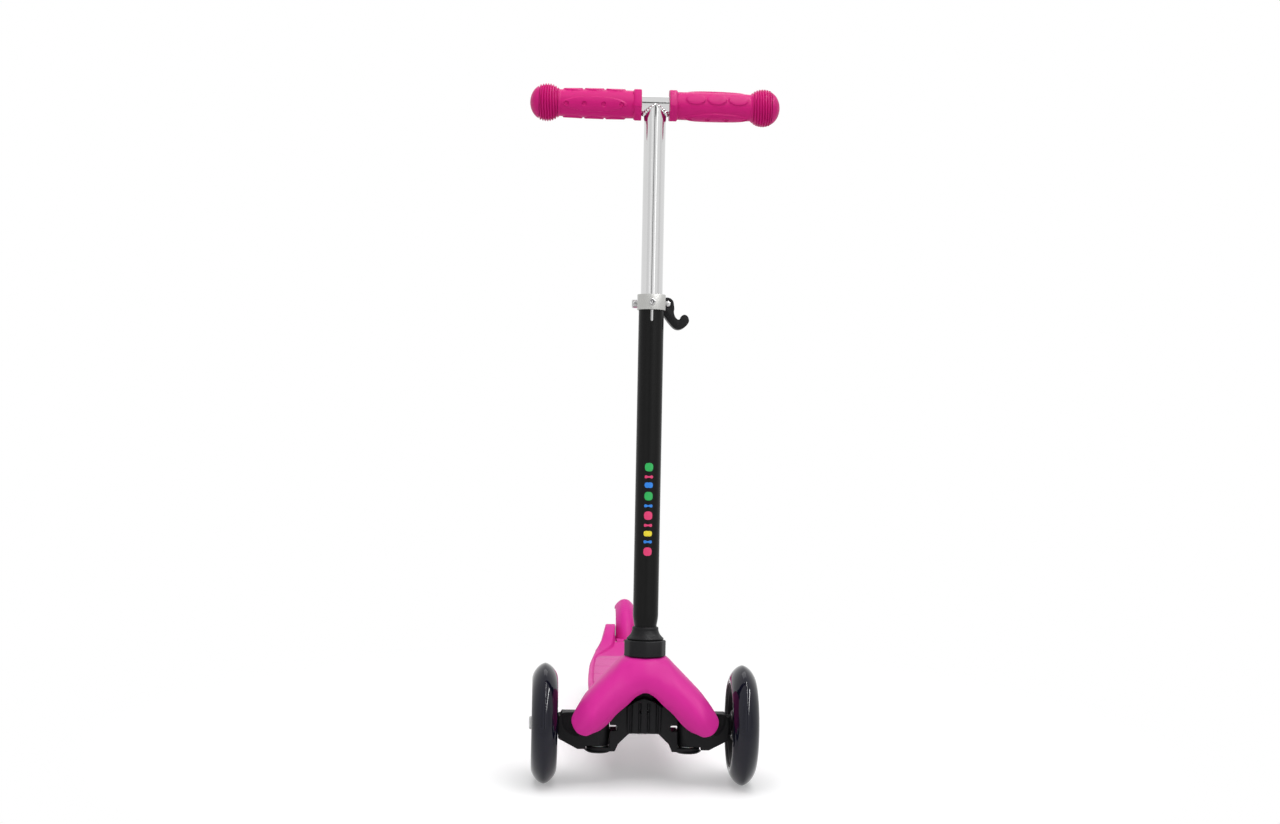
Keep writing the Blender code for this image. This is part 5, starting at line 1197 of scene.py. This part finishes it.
class SCOOTER_OT_stem(Operator):
    """The black outer tube with its coloured marks, the boot, the collar and the lock button"""

    bl_idname = "scooter.stem"
    bl_label = "Stem"

    def execute(self, context):
        low, high = stem_span("outer_tube")
        radius, swage, wall = TUBE_RADIUS, 0.0110, 0.0014
        section = [(low, swage - wall), (low, swage), (0.0285, swage), (0.0380, radius), (high, radius),
                   (high, radius - wall), (0.0380, radius - wall), (0.0285, swage - wall)]
        tube = solid("outer_tube_fine", turned(eased(section, 0.0035, 5, closed=True), FINE),
                     "black_paint", STEM)
        end = high - SLOT_DEPTH + SLOT_HALF
        slot = [(SLOT_HALF, high + OVERCUT), (-SLOT_HALF, high + OVERCUT)]
        for k in range(13):
            x, z = at_angle(SLOT_HALF, math.pi * k / 12)
            slot.append((-x, end - z))
        verts, faces = prism(slot, -radius - OVERCUT, -radius / 2)
        worked(tube, [([(x, y, z) for x, z, y in verts], faces), button_hole(radius)])
        stands_for(tube, "outer_tube")
        self.marks()
        self.boot()
        self.collar()
        stands_for(turned_again("stem_lock_button", STEM @ TO_BUTTON, 0.0007), "stem_lock_button")
        return {"FINISHED"}

    def marks(self):
        """A column of small coloured bars and dots printed on the front of the tube."""
        colours = bpy.context.scene.scooter_colours
        plan = (("rose", 0.0085), ("blue", 0.0030), ("yellow", 0.0055), ("rose", 0.0030), ("rose", 0.0085),
                ("blue", 0.0030), ("green", 0.0085), ("blue", 0.0055), ("rose", 0.0030), ("green", 0.0085))
        along = MARK_START
        shapes = {}
        for colour, length in plan:
            shapes.setdefault(colour, []).append((along, length))
            along += length + MARK_GAP
        for name, spans in shapes.items():
            verts, faces = [], []
            for start, length in spans:
                patch_verts, patch_faces = self.patch(start, length)
                faces += [[i + len(verts) for i in face] for face in patch_faces]
                verts += patch_verts
            paint = f"printed_{name}"
            MADE[paint] = moulded(paint, getattr(colours, name), 0.42, 0.00002)
            mark = solid(f"stem_marks_{name}", (verts, faces), paint, STEM)
            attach(mark, NODE_BODY["outer_tube"])

    def patch(self, start, length):
        """One printed shape, a rounded bar wrapped on the tube's front, a tenth of a millimetre thick."""
        half, end = MARK_HALF, start + length
        corner = min(half, length / 2) * 0.98
        outline = eased([(-half, start), (half, start), (half, end), (-half, end)], corner, 6, closed=True)
        rings = []
        middle_z = start + length / 2
        for rise, shares in ((-0.0004, (0.0, 1.0)), (0.0001, (1.0, 0.66, 0.33, 0.0))):
            for share in shares:
                rings.append([(*at_angle(TUBE_RADIUS + rise, share * x / TUBE_RADIUS - math.pi / 2),
                               middle_z + share * (z - middle_z)) for x, z in outline])
        verts, rows = numbered(rings)
        return weld(verts, strips(rows, wrap=True))

    def boot(self):
        """The black bell that hides the joint of tube and collar."""
        low, high = stem_span("stem_boot")
        bore = 0.0113
        bell = [(low + rise, radius) for rise, radius in (
            (0, bore), (0, 0.0174), (0.0005, 0.0182), (0.0014, 0.0184), (0.0022, 0.0178), (0.0040, 0.0159),
            (0.0060, 0.0145), (0.0084, 0.0136), (0.0098, 0.0132), (0.0102, 0.0133))]
        bell += [(high - 0.0008, 0.0131), (high, 0.0124), (high, bore)]

        def soft_corners(height, radius, angle):
            """Eight soft corners that fade out up the bell."""
            if radius < bore + 0.0004:
                return height, radius
            share = max(0.0, 1 - (height - low) / 0.0075)
            folded = abs((angle + math.pi / 8) % (math.pi / 4) - math.pi / 8) / (math.pi / 8)
            return height, radius * (1 + 0.030 * share * (0.5 - folded ** 1.5))

        section = eased(bell, 0.0012, 4, closed=True)
        boot = solid("stem_boot_fine", turned(section, FINE, soft_corners), "black_plastic", STEM, SOFTER)
        stands_for(boot, "stem_boot")

    def collar(self):
        """The eight-sided ring on the cover, with its edges broken."""
        low, high = stem_span("stem_collar")
        box_low, box_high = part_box("stem_collar")
        radius = (box_high.x - box_low.x) / 2 + 0.0002
        outline = eased(polygon(8, radius), 0.0042, 6, closed=True)
        rings = []
        for z, shrink in ((low, 0.0), (high - 0.0012, 0.0), (high - 0.0005, 0.0003), (high - 0.0001, 0.0008),
                          (high, 0.0014)):
            share = 1 - shrink / radius
            rings.append([(x * share, y * share, z) for x, y in outline])
        collar = solid("stem_collar_fine", lofted(rings), "black_plastic", STEM)
        bore = rod(low - 0.01, high + 0.01, 0.0139, FINE)
        stands_for(worked(collar, [bore, button_hole(0.03)]), "stem_collar")


def weld(verts, faces):
    """Vertices at one place made one, and faces without the ones that fall together."""
    spots, index_of = {}, []
    for v in verts:
        key = tuple(round(c, 7) for c in v)
        index_of.append(spots.setdefault(key, len(spots)))
    clean = []
    for face in faces:
        loop = list(dict.fromkeys(index_of[i] for i in face))
        if len(loop) > 2:
            clean.append(loop)
    return list(spots), clean


# Clamp

CAM_RADIUS = 0.0075
CAM_THROW = 0.0012           # what the cam's radius loses over its turn
CAM_TURN = math.radians(110)
LEVER_HALF = 0.0075
CLAMP_BORE = 0.0129
CLAMP_RADIUS = 0.0143


def lever_outline():
    """The quick-release lever from the front, about its cam's centre: cam, neck and hook."""
    cam = []
    for k in range(9):
        angle = math.radians(20 + 20 * k)
        lost = min(max((math.pi - angle) / CAM_TURN, 0.0), 1.0) * CAM_THROW
        cam.append(Vector(at_angle(CAM_RADIUS - lost, angle)))
    hook = [(-0.0060, -0.0045), (-0.0036, -0.0070), (-0.0050, -0.0098), (-0.0041, -0.0110),
            (-0.0012, -0.0151), (0.0020, -0.0192), (0.0053, -0.0228), (0.0082, -0.0249), (0.0118, -0.0257),
            (0.0155, -0.0247),
            (0.0188, -0.0224), (0.0208, -0.0200), (0.0220, -0.0175), (0.0218, -0.0147), (0.0204, -0.0120),
            (0.0180, -0.0106), (0.0159, -0.0109), (0.0143, -0.0122), (0.0135, -0.0143), (0.0122, -0.0155),
            (0.0106, -0.0155), (0.0086, -0.0139), (0.0071, -0.0110), (0.0065, -0.0078), (0.0069, -0.0045)]
    return through(cam + [Vector(p) for p in hook], 4, closed=True)


class SCOOTER_OT_clamp(Operator):
    """The split alloy clamp with its cross bolt, cam lever, barrel pin and guide screw"""

    bl_idname = "scooter.clamp"
    bl_label = "Stem clamp"

    def execute(self, context):
        low, high = stem_span("clamp_ring")
        ring = solid("clamp_ring_fine", rod(low, high, CLAMP_RADIUS, FINE), "satin_alloy", STEM)
        outline = [(-0.0080, 0.009), (0.0080, 0.009), (0.0080, 0.0250), (-0.0080, 0.0250)]
        ears = prism(eased(outline, 0.0022, 5, closed=True), low + 0.0004, high - 0.0004)
        worked(ring, [ears], "UNION")
        bolt_y = (STEM.inverted() @ joint_point("clamp_lever_turn")).y
        centre = (low + high) / 2
        across, forward = aim((0, bolt_y, centre), X_AXIS), aim((0, 0, centre), Y_AXIS)
        worked(ring, [rod(low - 0.01, high + 0.01, CLAMP_BORE, FINE),
                      brick((-0.0012, 0.004, low - 0.01), (0.0012, 0.03, high + 0.01)),
                      moved(rod(-0.01, 0.01, 0.0026), across),
                      moved(rod(-0.016, -0.0065, 0.0016), forward)])
        stands_for(rounded(ring, 0.0006, 50), "clamp_ring")
        self.screw(centre)
        for node in ("clamp_bolt", "clamp_nut", "cam_washer"):
            piece = turned_again(node, STEM @ across, 0.0006)
            if node == "clamp_nut":
                end = extent(node, STEM @ across)[0]
                hex_socket(piece, 0.0040, end - OVERCUT, end + 0.0014)
            stands_for(piece, node)
        self.barrel()
        self.lever()
        return {"FINISHED"}

    def screw(self, centre):
        """The pan-head guide screw with its cross recess, at the front."""
        place = STEM @ aim((0, 0, centre), -Y_AXIS)
        screw = turned_again("clamp_screw", place, 0.0010)
        tip = extent("clamp_screw", place)[1]
        outline = []
        for k in range(72):
            a = math.tau * k / 72
            outline.append(at_angle(cross_section(a, 0.0026, 0.00075), a))
        floor = [(x * 0.6, y * 0.6, tip - 0.0017) for x, y in outline]
        recess = lofted([floor, [(x, y, tip + 0.0005) for x, y in outline]])
        stands_for(worked(screw, [recess]), "clamp_screw")

    def barrel(self):
        """The cross pin that the lever turns on, bored for the bolt."""
        place = aim(joint_point("clamp_lever_turn"), -STEM.to_3x3().col[1])
        low, high = extent("barrel_pin", place)
        section = [(low, 0), (low, 0.0024), (low + 0.0006, 0.0030), (high - 0.0006, 0.0030), (high, 0.0024),
                   (high + 0.0002, 0.0012), (high + 0.0002, 0)]
        barrel = solid("barrel_pin_fine", turned(eased(section, 0.0005), COARSE), "zinc_steel", place)
        along = aim((0, 0, 0), place.inverted().to_3x3() @ X_AXIS)
        worked(barrel, [moved(rod(-0.004, 0.0018, 0.0018), along)])
        stands_for(barrel, "barrel_pin")

    def lever(self):
        """The hooked lever, forked over the bolt's end and bored for the barrel pin."""
        place = Matrix.Translation(joint_point("clamp_lever_turn")) @ Matrix.Rotation(-STEM_RAKE, 4, "X")
        verts, faces = prism([(p.x, p.y) for p in lever_outline()], -LEVER_HALF, LEVER_HALF)
        lever = solid("quick_release_lever_fine", ([(x, -z, y) for x, y, z in verts], faces),
                      "black_plastic", place)
        reach = LEVER_HALF + OVERCUT
        hole = moved(rod(-reach, reach, 0.0032), aim((0, 0, 0), Y_AXIS))
        fork = brick((-0.0095, -0.0027, -0.0030), (0.0052, 0.0027, 0.0090))
        worked(lever, [hole, fork])
        stands_for(rounded(lever, 0.0008, 40), "quick_release_lever")


# Handlebar

SLIDE_RADIUS = 0.0110
BAR_RADIUS = 0.0094
BEAD_STEPS = 240
BEAD_SIDES = 8
BEAD_RIPPLE = 8              # steps in each ripple of the weld


class SCOOTER_OT_handlebar(Operator):
    """The chrome tee: inner tube with its flared, welded saddle, crossbar and end plug"""

    bl_idname = "scooter.handlebar"
    bl_label = "Handlebar"

    def execute(self, context):
        bar_z = (STEM.inverted() @ middle("crossbar")).z
        low = stem_span("inner_tube")[0]
        straight = bar_z - 0.0240
        rings = [[(x, y, z) for x, y in polygon(FINE, SLIDE_RADIUS)] for z in (low, bar_z - 0.060, straight)]
        for share in (0.2, 0.4, 0.55, 0.7, 0.82, 0.92, 1.0):
            rings.append([self.flare(bar_z, straight, share, math.tau * k / FINE) for k in range(FINE)])
        tube = solid("inner_tube_fine", lofted(rings), "chrome", STEM)
        bore = rod(low - OVERCUT, bar_z - 0.0175, 0.0095, FINE)
        saddle = rod(-0.03, 0.03, BAR_RADIUS + 0.0001, FINE)
        worked(tube, [bore, moved(saddle, aim((0, 0, bar_z), X_AXIS))])
        stands_for(tube, "inner_tube")
        self.weld_bead(bar_z, straight)
        renewed("crossbar", X_AXIS, 0.0005, FINE)
        stands_for(turned_again("inner_tube_plug", STEM, 0.0006, FINE), "inner_tube_plug")
        return {"FINISHED"}

    def flare(self, bar_z, straight, share, angle):
        """A point of the flared mouth: it widens sideways, and its lip peaks in front and behind."""
        wide = SLIDE_RADIUS * (1 + 0.05 * share ** 2) * math.cos(angle)
        deep = SLIDE_RADIUS * (1 - 0.05 * share ** 2) * math.sin(angle)
        lip = bar_z - 0.0002 - 0.78 * abs(wide)
        return wide, deep, straight + (lip - straight) * share

    def weld_bead(self, bar_z, straight):
        """The rippled fillet weld where the flared tube meets the crossbar."""
        path = []
        for k in range(BEAD_STEPS):
            x, y, z = self.flare(bar_z, straight, 1.0, math.tau * k / BEAD_STEPS)
            drop = math.sqrt(max((BAR_RADIUS + 0.0002) ** 2 - y * y, 0.0))
            z = min(z - bar_z, -drop + 0.0006) if abs(y) < BAR_RADIUS else z - bar_z
            path.append(Vector((x, y, z)))
        rings = []
        for k, here in enumerate(path):
            ahead = (path[(k + 1) % BEAD_STEPS] - path[k - 1]).normalized()
            across = ahead.cross(Vector((here.x, here.y, 0.001)).normalized()).normalized()
            size = 0.0011 + 0.0010 * abs(here.x) / SLIDE_RADIUS
            size *= (1 + 0.24 * math.cos(math.tau * k / BEAD_RIPPLE)) * (1 + 0.2 * noise.noise(here * 300))
            rings.append(ring_about(here, across, ahead.cross(across), size, BEAD_SIDES))
        bead = solid("crossbar_weld", looped(rings), "chrome",
                     STEM @ Matrix.Translation((0, 0, bar_z)), math.radians(70))
        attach(bead, NODE_BODY["inner_tube"])


def ball_radius(z):
    """Radius of the ball at the grip's end, at a place along the grip."""
    reach = GRIP_END - BALL_WIDEST if z > BALL_WIDEST else BALL_INNER
    return BALL_RADIUS * math.sqrt(max(1 - abs((z - BALL_WIDEST) / reach) ** 2.2, 0.0))


def grip_section():
    """The grip's half section from the inner face to the domed end, along its axis."""
    body = [(GRIP_START + 0.0002, GRIP_RADIUS)]
    body_start, body_steps = GRIP_START + 0.0062, 108
    for k in range(body_steps + 1):
        share = k / body_steps
        z = body_start + (FINS_START - body_start) * share
        plain = GRIP_RADIUS - 0.0006 * share ** 3 + 0.0004 * math.sin(math.pi * share)
        body.append((z, max(plain, ball_radius(z))))
    fins = []
    for k in range(FIN_COUNT * 6):
        z = FINS_START + 0.0003 + FIN_PITCH * k / 6
        deep = (0.8, 1.0, 0.8, 0.0, 0.0, 0.0)[k % 6]
        fins.append((z, ball_radius(z) - FIN_DEPTH * deep))
    dome_start = fins[-1][0] + 0.0010
    dome = [(dome_start - 0.0004, ball_radius(dome_start) - FIN_DEPTH * 1.3),
            (dome_start, ball_radius(dome_start) - FIN_DEPTH * 1.3)]
    for k in range(15):
        z = dome_start + (GRIP_END - dome_start) * math.sin(math.pi / 2 * k / 14)
        dome.append((z, ball_radius(z) - 0.0006 * (1 - k / 14) if k < 14 else 0.0))
    inner_end = GRIP_END - 0.0050
    return [(inner_end, 0), (inner_end, GRIP_BORE), (GRIP_START, GRIP_BORE), *body, *fins, *dome]


LONG_PAD = (0.0620, 0.0332, 0.56)        # centre, half length and half angle
SHORT_PADS = [(0.0618 + shift, 0.0103, 0.40) for shift in (-0.0215, 0.0, 0.0215)]
DOTS = [(0.0624 + shift, 0.0023, 0.16) for shift in (-0.0281, -0.0097, 0.0097, 0.0280)]
DOT_DEPTH = 0.0013


def oval(along, round_, centre, reach, arc):
    """1 in the middle of an oval pad and 0 outside it, with a soft edge."""
    place = math.hypot((along - centre) / reach, round_ / arc)
    edge = min(max((1.0 - place) / 0.09, 0.0), 1.0)
    return edge * edge * (3 - 2 * edge)


def grip_field(tilt):
    """Pads, dots and the wavy fins, turned about the grip by an angle."""

    def field(z, r, angle):
        turn = angle - tilt
        if 0.0225 <= z < FINS_START and r > 0.0125:
            lift = 0.0
            for side in (0.0, math.pi):
                away = (turn - side + math.pi) % math.tau - math.pi
                lift = max(lift, oval(z, away, *LONG_PAD) * PAD_RISE)
                for dot in DOTS:
                    lift -= oval(z, away, *dot) * DOT_DEPTH
                away = (turn - side + math.pi / 2) % math.tau - math.pi
                for pad in SHORT_PADS:
                    lift = max(lift, oval(z, away, *pad) * PAD_RISE)
            return z, r + lift
        if z >= FINS_START:
            sway = 0.00035 * math.sin(2 * angle + z * 120) + 0.0003 * math.sin(3 * angle + 1.3 + z * 60)
            fade = min((z - FINS_START) / 0.003, (0.1180 - z) / 0.002, 1.0)
            return z + sway * max(fade, 0.0), r
        return z, r
    return field


class SCOOTER_OT_grips(Operator):
    """Both moulded rubber grips with their pads, flats, fins and domed ends"""

    bl_idname = "scooter.grips"
    bl_label = "Grips"

    def execute(self, context):
        plan = context.scene.scooter_grips
        for tag, side, tilt in (("l", 1, plan.left_tilt), ("r", -1, plan.right_tilt)):
            front = math.pi if side > 0 else 0.0
            place = aim(middle("crossbar"), X_AXIS * side)
            shape = turned(grip_section(), 160, grip_field(front + tilt))
            grip = solid(f"grip_{tag}_fine", shape, "grip_rubber", place, SOFTER)
            worked(grip, [self.flange(front + tilt)], "UNION", math.radians(40))
            stands_for(grip, f"grip_{tag}")
        return {"FINISHED"}

    def flange(self, turn):
        """The six-sided flange at the grip's inner end, its outer edge sloped towards the body."""
        outline = eased(polygon(FLANGE_FLATS, FLANGE_RADIUS, turn), 0.0011, 1, closed=True)
        bore = [(x * FLANGE_BORE / FLANGE_RADIUS, y * FLANGE_BORE / FLANGE_RADIUS) for x, y in outline]
        rings = []
        for depth, share in ((0.0, 0.97), (0.0005, 1.0), (0.0064, 1.0), (0.0070, 0.98), (0.0088, 0.80)):
            rings.append([(x * share, y * share, GRIP_START + depth) for x, y in outline])
        hollow = [[(x, y, GRIP_START + depth) for x, y in bore] for depth in (0.0088, 0.0)]
        return looped(rings + hollow)


# Stage

# Each soft box: name, place, size, the property that holds its power, and whether reflections show it
LAMPS = (
    ("top_box", (0.1, -0.6, 2.2), (2.0, 2.0), "top_light", False),
    ("left_box", (-1.3, -1.5, 0.8), (0.6, 1.6), "side_light", False),
    ("right_box", (1.3, -1.6, 0.8), (0.6, 1.6), "side_light", False),
    ("back_box", (0.0, 1.1, 1.9), (1.6, 0.8), "back_light", True),
)
# Each flag stands in front, turned about Z: degrees, half width, foot, head, brightness
FLAGS = (
    (-5, 0.19, 0.05, 1.8, 0.25), (-50, 0.45, 0.05, 1.8, 0.84), (64, 0.45, 0.05, 1.8, 0.80),
    (4, 0.50, 1.34, 2.2, 0.06), (20, 0.15, 0.05, 1.8, 1.80), (-26, 0.06, 0.05, 1.8, 1.5),
)
FLAG_DISTANCE = 2.4
# Each ceiling strip: place across, half width
STRIPS = ((0.50, 0.034), (1.90, 0.055))
STRIP_Z = 2.0
STRIP_ENDS = (-3.2, 0.2)
STRIP_BRIGHTNESS = 60.0


def glow(name, strength):
    """A white material that gives off light of its own."""
    material = bpy.data.materials.new(name)
    material.use_nodes = True
    shader = material.node_tree.nodes["Principled BSDF"]
    shader.inputs["Base Color"].default_value = (0, 0, 0, 1)
    shader.inputs["Emission Color"].default_value = (1, 1, 1, 1)
    shader.inputs["Emission Strength"].default_value = strength
    return material


class SCOOTER_OT_stage(Operator):
    """The pale floor, the white surroundings, the lamps and the camera"""

    bl_idname = "scooter.stage"
    bl_label = "Stage"

    def execute(self, context):
        plan = context.scene.scooter_stage
        self.floor(plan)
        self.sky(plan)
        self.lamps(plan)
        self.camera(plan)
        context.scene.view_settings.view_transform = "Standard"
        return {"FINISHED"}

    def floor(self, plan):
        """A pale sheet whose far parts turn plain white for the camera."""
        finish = Finish("studio_floor", plan.floor, roughness=0.9)
        spot = finish.out(finish.add("ShaderNodeTexCoord"), "Object")
        distance = finish.add("ShaderNodeVectorMath", {"operation": "LENGTH"}, {0: spot})
        far = finish.out(distance, "Value").ramp(plan.fade_start, plan.fade_end)
        paths = finish.add("ShaderNodeLightPath")
        seen = finish.out(paths, "Is Camera Ray").most(finish.out(paths, "Is Glossy Ray"))
        seen = seen.most(finish.out(paths, "Is Transmission Ray"))
        finish.paint("Emission Color", seen * plan.lift)
        finish.paint("Emission Strength", 1.0)
        white = finish.add("ShaderNodeEmission", None, {"Color": (1, 1, 1, 1), "Strength": 1.0})
        mixer = finish.add("ShaderNodeMixShader", None, {0: far * seen})
        finish.tree.links.new(finish.shader.outputs[0], mixer.inputs[1])
        finish.tree.links.new(white.outputs[0], mixer.inputs[2])
        finish.tree.links.new(mixer.outputs[0], finish.tree.nodes["Material Output"].inputs["Surface"])
        MADE["floor"] = finish.material
        corners = [(-12, -12, 0), (12, -12, 0), (12, 12, 0), (-12, 12, 0)]
        solid("studio_floor", (corners, [[0, 1, 2, 3]]), "floor")

    def sky(self, plan):
        """White to the camera, in glass and in metal, and softer as a light."""
        world = bpy.data.worlds.new("studio_air")
        bpy.context.scene.world = world
        world.use_nodes = True
        tree = world.node_tree
        paths = tree.nodes.new("ShaderNodeLightPath")
        air = tree.nodes["Background"]
        air.inputs["Color"].default_value = (1, 1, 1, 1)
        air.inputs["Strength"].default_value = plan.air_light
        for ray in ("Is Glossy Ray", "Is Transmission Ray", "Is Camera Ray"):
            white = tree.nodes.new("ShaderNodeBackground")
            white.inputs["Color"].default_value = (1, 1, 1, 1)
            mixer = tree.nodes.new("ShaderNodeMixShader")
            tree.links.new(paths.outputs[ray], mixer.inputs[0])
            tree.links.new(air.outputs[0], mixer.inputs[1])
            tree.links.new(white.outputs[0], mixer.inputs[2])
            air = mixer
        tree.links.new(air.outputs[0], tree.nodes["World Output"].inputs["Surface"])

    def lamps(self, plan):
        """Soft boxes, and flags and bright strips that only reflections see."""
        for name, at, size, power, mirrored_too in LAMPS:
            lamp = bpy.data.lights.new(name, "AREA")
            lamp.shape = "RECTANGLE"
            lamp.size, lamp.size_y = size
            lamp.energy = getattr(plan, power)
            spot = bpy.data.objects.new(name, lamp)
            bpy.context.scene.collection.objects.link(spot)
            spot.visible_glossy = mirrored_too
            aimed = Vector((0, 0, 0.25)) - Vector(at)
            spot.location = at
            spot.rotation_euler = aimed.to_track_quat("-Z", "Y").to_euler()
        for index, (angle, width, low, high, grey) in enumerate(FLAGS):
            turn = Matrix.Rotation(math.radians(angle), 4, "Z")
            back = -FLAG_DISTANCE + 0.01 * index
            self.card(f"flag_{index}", [turn @ Vector((x, back, z)) for x, z in (
                (-width, low), (width, low), (width, high), (-width, high))], grey)
        near, far = STRIP_ENDS
        for index, (across, width) in enumerate(STRIPS):
            left, right = across - width, across + width
            self.card(f"ceiling_strip_{index}", [Vector((x, y, STRIP_Z)) for x, y in (
                (left, near), (right, near), (right, far), (left, far))], STRIP_BRIGHTNESS)

    def card(self, name, corners, brightness):
        """A card or strip that only reflections see."""
        MADE[name] = glow(name, brightness)
        card = solid(name, (corners, [[0, 1, 2, 3]]), name)
        for ray in ("camera", "diffuse", "shadow", "transmission"):
            setattr(card, "visible_" + ray, False)

    def camera(self, plan):
        """The photograph's view of the scooter."""
        lens = bpy.data.cameras.new("camera")
        lens.sensor_width = 36.0
        lens.lens = plan.lens
        lens.clip_start, lens.clip_end = 0.05, 60
        view = bpy.data.objects.new("camera", lens)
        bpy.context.scene.collection.objects.link(view)
        view.rotation_mode = "XYZ"
        place = (plan.camera_x, AXLE.y - plan.camera_back, plan.camera_height)
        view.matrix_world = (Matrix.Translation(place)
                             @ Matrix.Rotation(-plan.camera_yaw, 4, "Z")
                             @ Matrix.Rotation(math.pi / 2 - plan.camera_pitch, 4, "X")
                             @ Matrix.Rotation(plan.camera_roll, 4, "Z"))
        bpy.context.scene.camera = view


def colour_property(name, text, value):
    return FloatVectorProperty(name=name, description=text, default=value, size=3, min=0.0, max=1.0,
                               subtype="COLOR")


def length_property(name, text, value):
    return FloatProperty(name=name, description=text, default=value, unit="LENGTH")


def power_property(name, text, value):
    return FloatProperty(name=name, description=text, default=value, unit="POWER")


def angle_property(name, text, degrees):
    return FloatProperty(name=name, description=text, default=math.radians(degrees), subtype="ANGLE",
                         unit="ROTATION")


class ScooterColours(PropertyGroup):
    """Colours of the scooter's finishes"""

    body: colour_property("Body", "Moulded cover, board and fender", (0.640, 0.024, 0.295))
    tread: colour_property("Tread", "Matt sheet on the board", (0.680, 0.110, 0.370))
    grip: colour_property("Grip", "Rubber grips", (0.540, 0.009, 0.165))
    black: colour_property("Black plastic", "Chassis, hubs, collar and lever", (0.009, 0.009, 0.010))
    rubber: colour_property("Shoe rubber", "Brake shoe", (0.020, 0.020, 0.020))
    paint: colour_property("Enamel", "Painted stem tube", (0.006, 0.006, 0.006))
    tyre: colour_property("Urethane", "Smoke-coloured tyres", (0.004, 0.004, 0.012))
    zinc: colour_property("Zinc", "Bolts, pins and bearings", (0.520, 0.520, 0.520))
    alloy: colour_property("Alloy", "Stem clamp", (0.500, 0.500, 0.485))
    chrome: colour_property("Chrome", "Sliding tube and crossbar", (0.660, 0.660, 0.660))
    nylon: colour_property("Nylon", "Bushes", (0.600, 0.600, 0.580))
    rose: colour_property("Rose mark", "Printed marks on the stem", (0.700, 0.030, 0.150))
    blue: colour_property("Blue mark", "Printed marks on the stem", (0.010, 0.200, 0.700))
    yellow: colour_property("Yellow mark", "Printed marks on the stem", (0.800, 0.650, 0.020))
    green: colour_property("Green mark", "Printed marks on the stem", (0.010, 0.400, 0.080))


class ScooterGrips(PropertyGroup):
    """How the grips are turned on the bar"""

    left_tilt: angle_property("Left grip turn", "Turn of the +X grip about the bar", 66.0)
    right_tilt: angle_property("Right grip turn", "Turn of the -X grip about the bar", -8.0)


class ScooterStage(PropertyGroup):
    """Floor, light and camera"""

    floor: colour_property("Floor", "Pale studio floor", (0.780, 0.780, 0.785))
    lift: FloatProperty(name="Shadow lift", description="How far the floor's shadow is lightened for the eye",
                        default=0.27, min=0.0, max=1.0)
    fade_start: length_property("Fade start", "Where the floor starts to turn white", 0.24)
    fade_end: length_property("Fade end", "Where the floor is all white", 0.62)
    air_light: FloatProperty(name="Air light", description="Strength of the surroundings as a light",
                             default=0.37)
    top_light: power_property("Top light", "Power of the soft box overhead", 37.0)
    side_light: power_property("Side light", "Power of the soft box on each side", 6.0)
    back_light: power_property("Back light", "Power of the soft box behind", 4.5)
    lens: FloatProperty(name="Lens", description="Focal length in millimetres", default=53.66)
    camera_x: length_property("Camera X", "Camera's place across", -0.1118)
    camera_back: length_property("Camera distance", "Distance ahead of the front axle", 1.9027)
    camera_height: length_property("Camera height", "Height above the floor", 0.4575)
    camera_yaw: angle_property("Camera yaw", "Turn towards the rider's left", 3.05)
    camera_pitch: angle_property("Camera pitch", "Tilt below the horizon", 2.5)
    camera_roll: angle_property("Camera roll", "Turn of the picture", 1.31)


class SCOOTER_PT_build(Panel):
    """Buttons that build the scooter piece by piece"""

    bl_idname = "SCOOTER_PT_build"
    bl_label = "Kick scooter"
    bl_space_type = "VIEW_3D"
    bl_region_type = "UI"
    bl_category = "Scooter"

    def draw(self, context):
        for operator in OPERATORS:
            self.layout.operator(operator.bl_idname)
        for name in GROUPS:
            group = getattr(context.scene, name)
            box = self.layout.box()
            for key in group.__annotations__:
                box.prop(group, key)


OPERATORS = (SCOOTER_OT_front_wheels, SCOOTER_OT_rear_wheel, SCOOTER_OT_steering, SCOOTER_OT_front_cover,
             SCOOTER_OT_board, SCOOTER_OT_brake, SCOOTER_OT_stem, SCOOTER_OT_clamp, SCOOTER_OT_handlebar,
             SCOOTER_OT_grips, SCOOTER_OT_stage)
GROUPS = {"scooter_colours": ScooterColours, "scooter_grips": ScooterGrips, "scooter_stage": ScooterStage}
CLASSES = (*GROUPS.values(), *OPERATORS, SCOOTER_PT_build)


def register():
    for cls in CLASSES:
        bpy.utils.register_class(cls)
    for name, group in GROUPS.items():
        setattr(bpy.types.Scene, name, PointerProperty(type=group))


def unregister():
    for name in GROUPS:
        delattr(bpy.types.Scene, name)
    for cls in reversed(CLASSES):
        bpy.utils.unregister_class(cls)


def main():
    register()
    for operator in OPERATORS:
        group, name = operator.bl_idname.split(".")
        getattr(getattr(bpy.ops, group), name)()


if __name__ == "__main__":
    main()
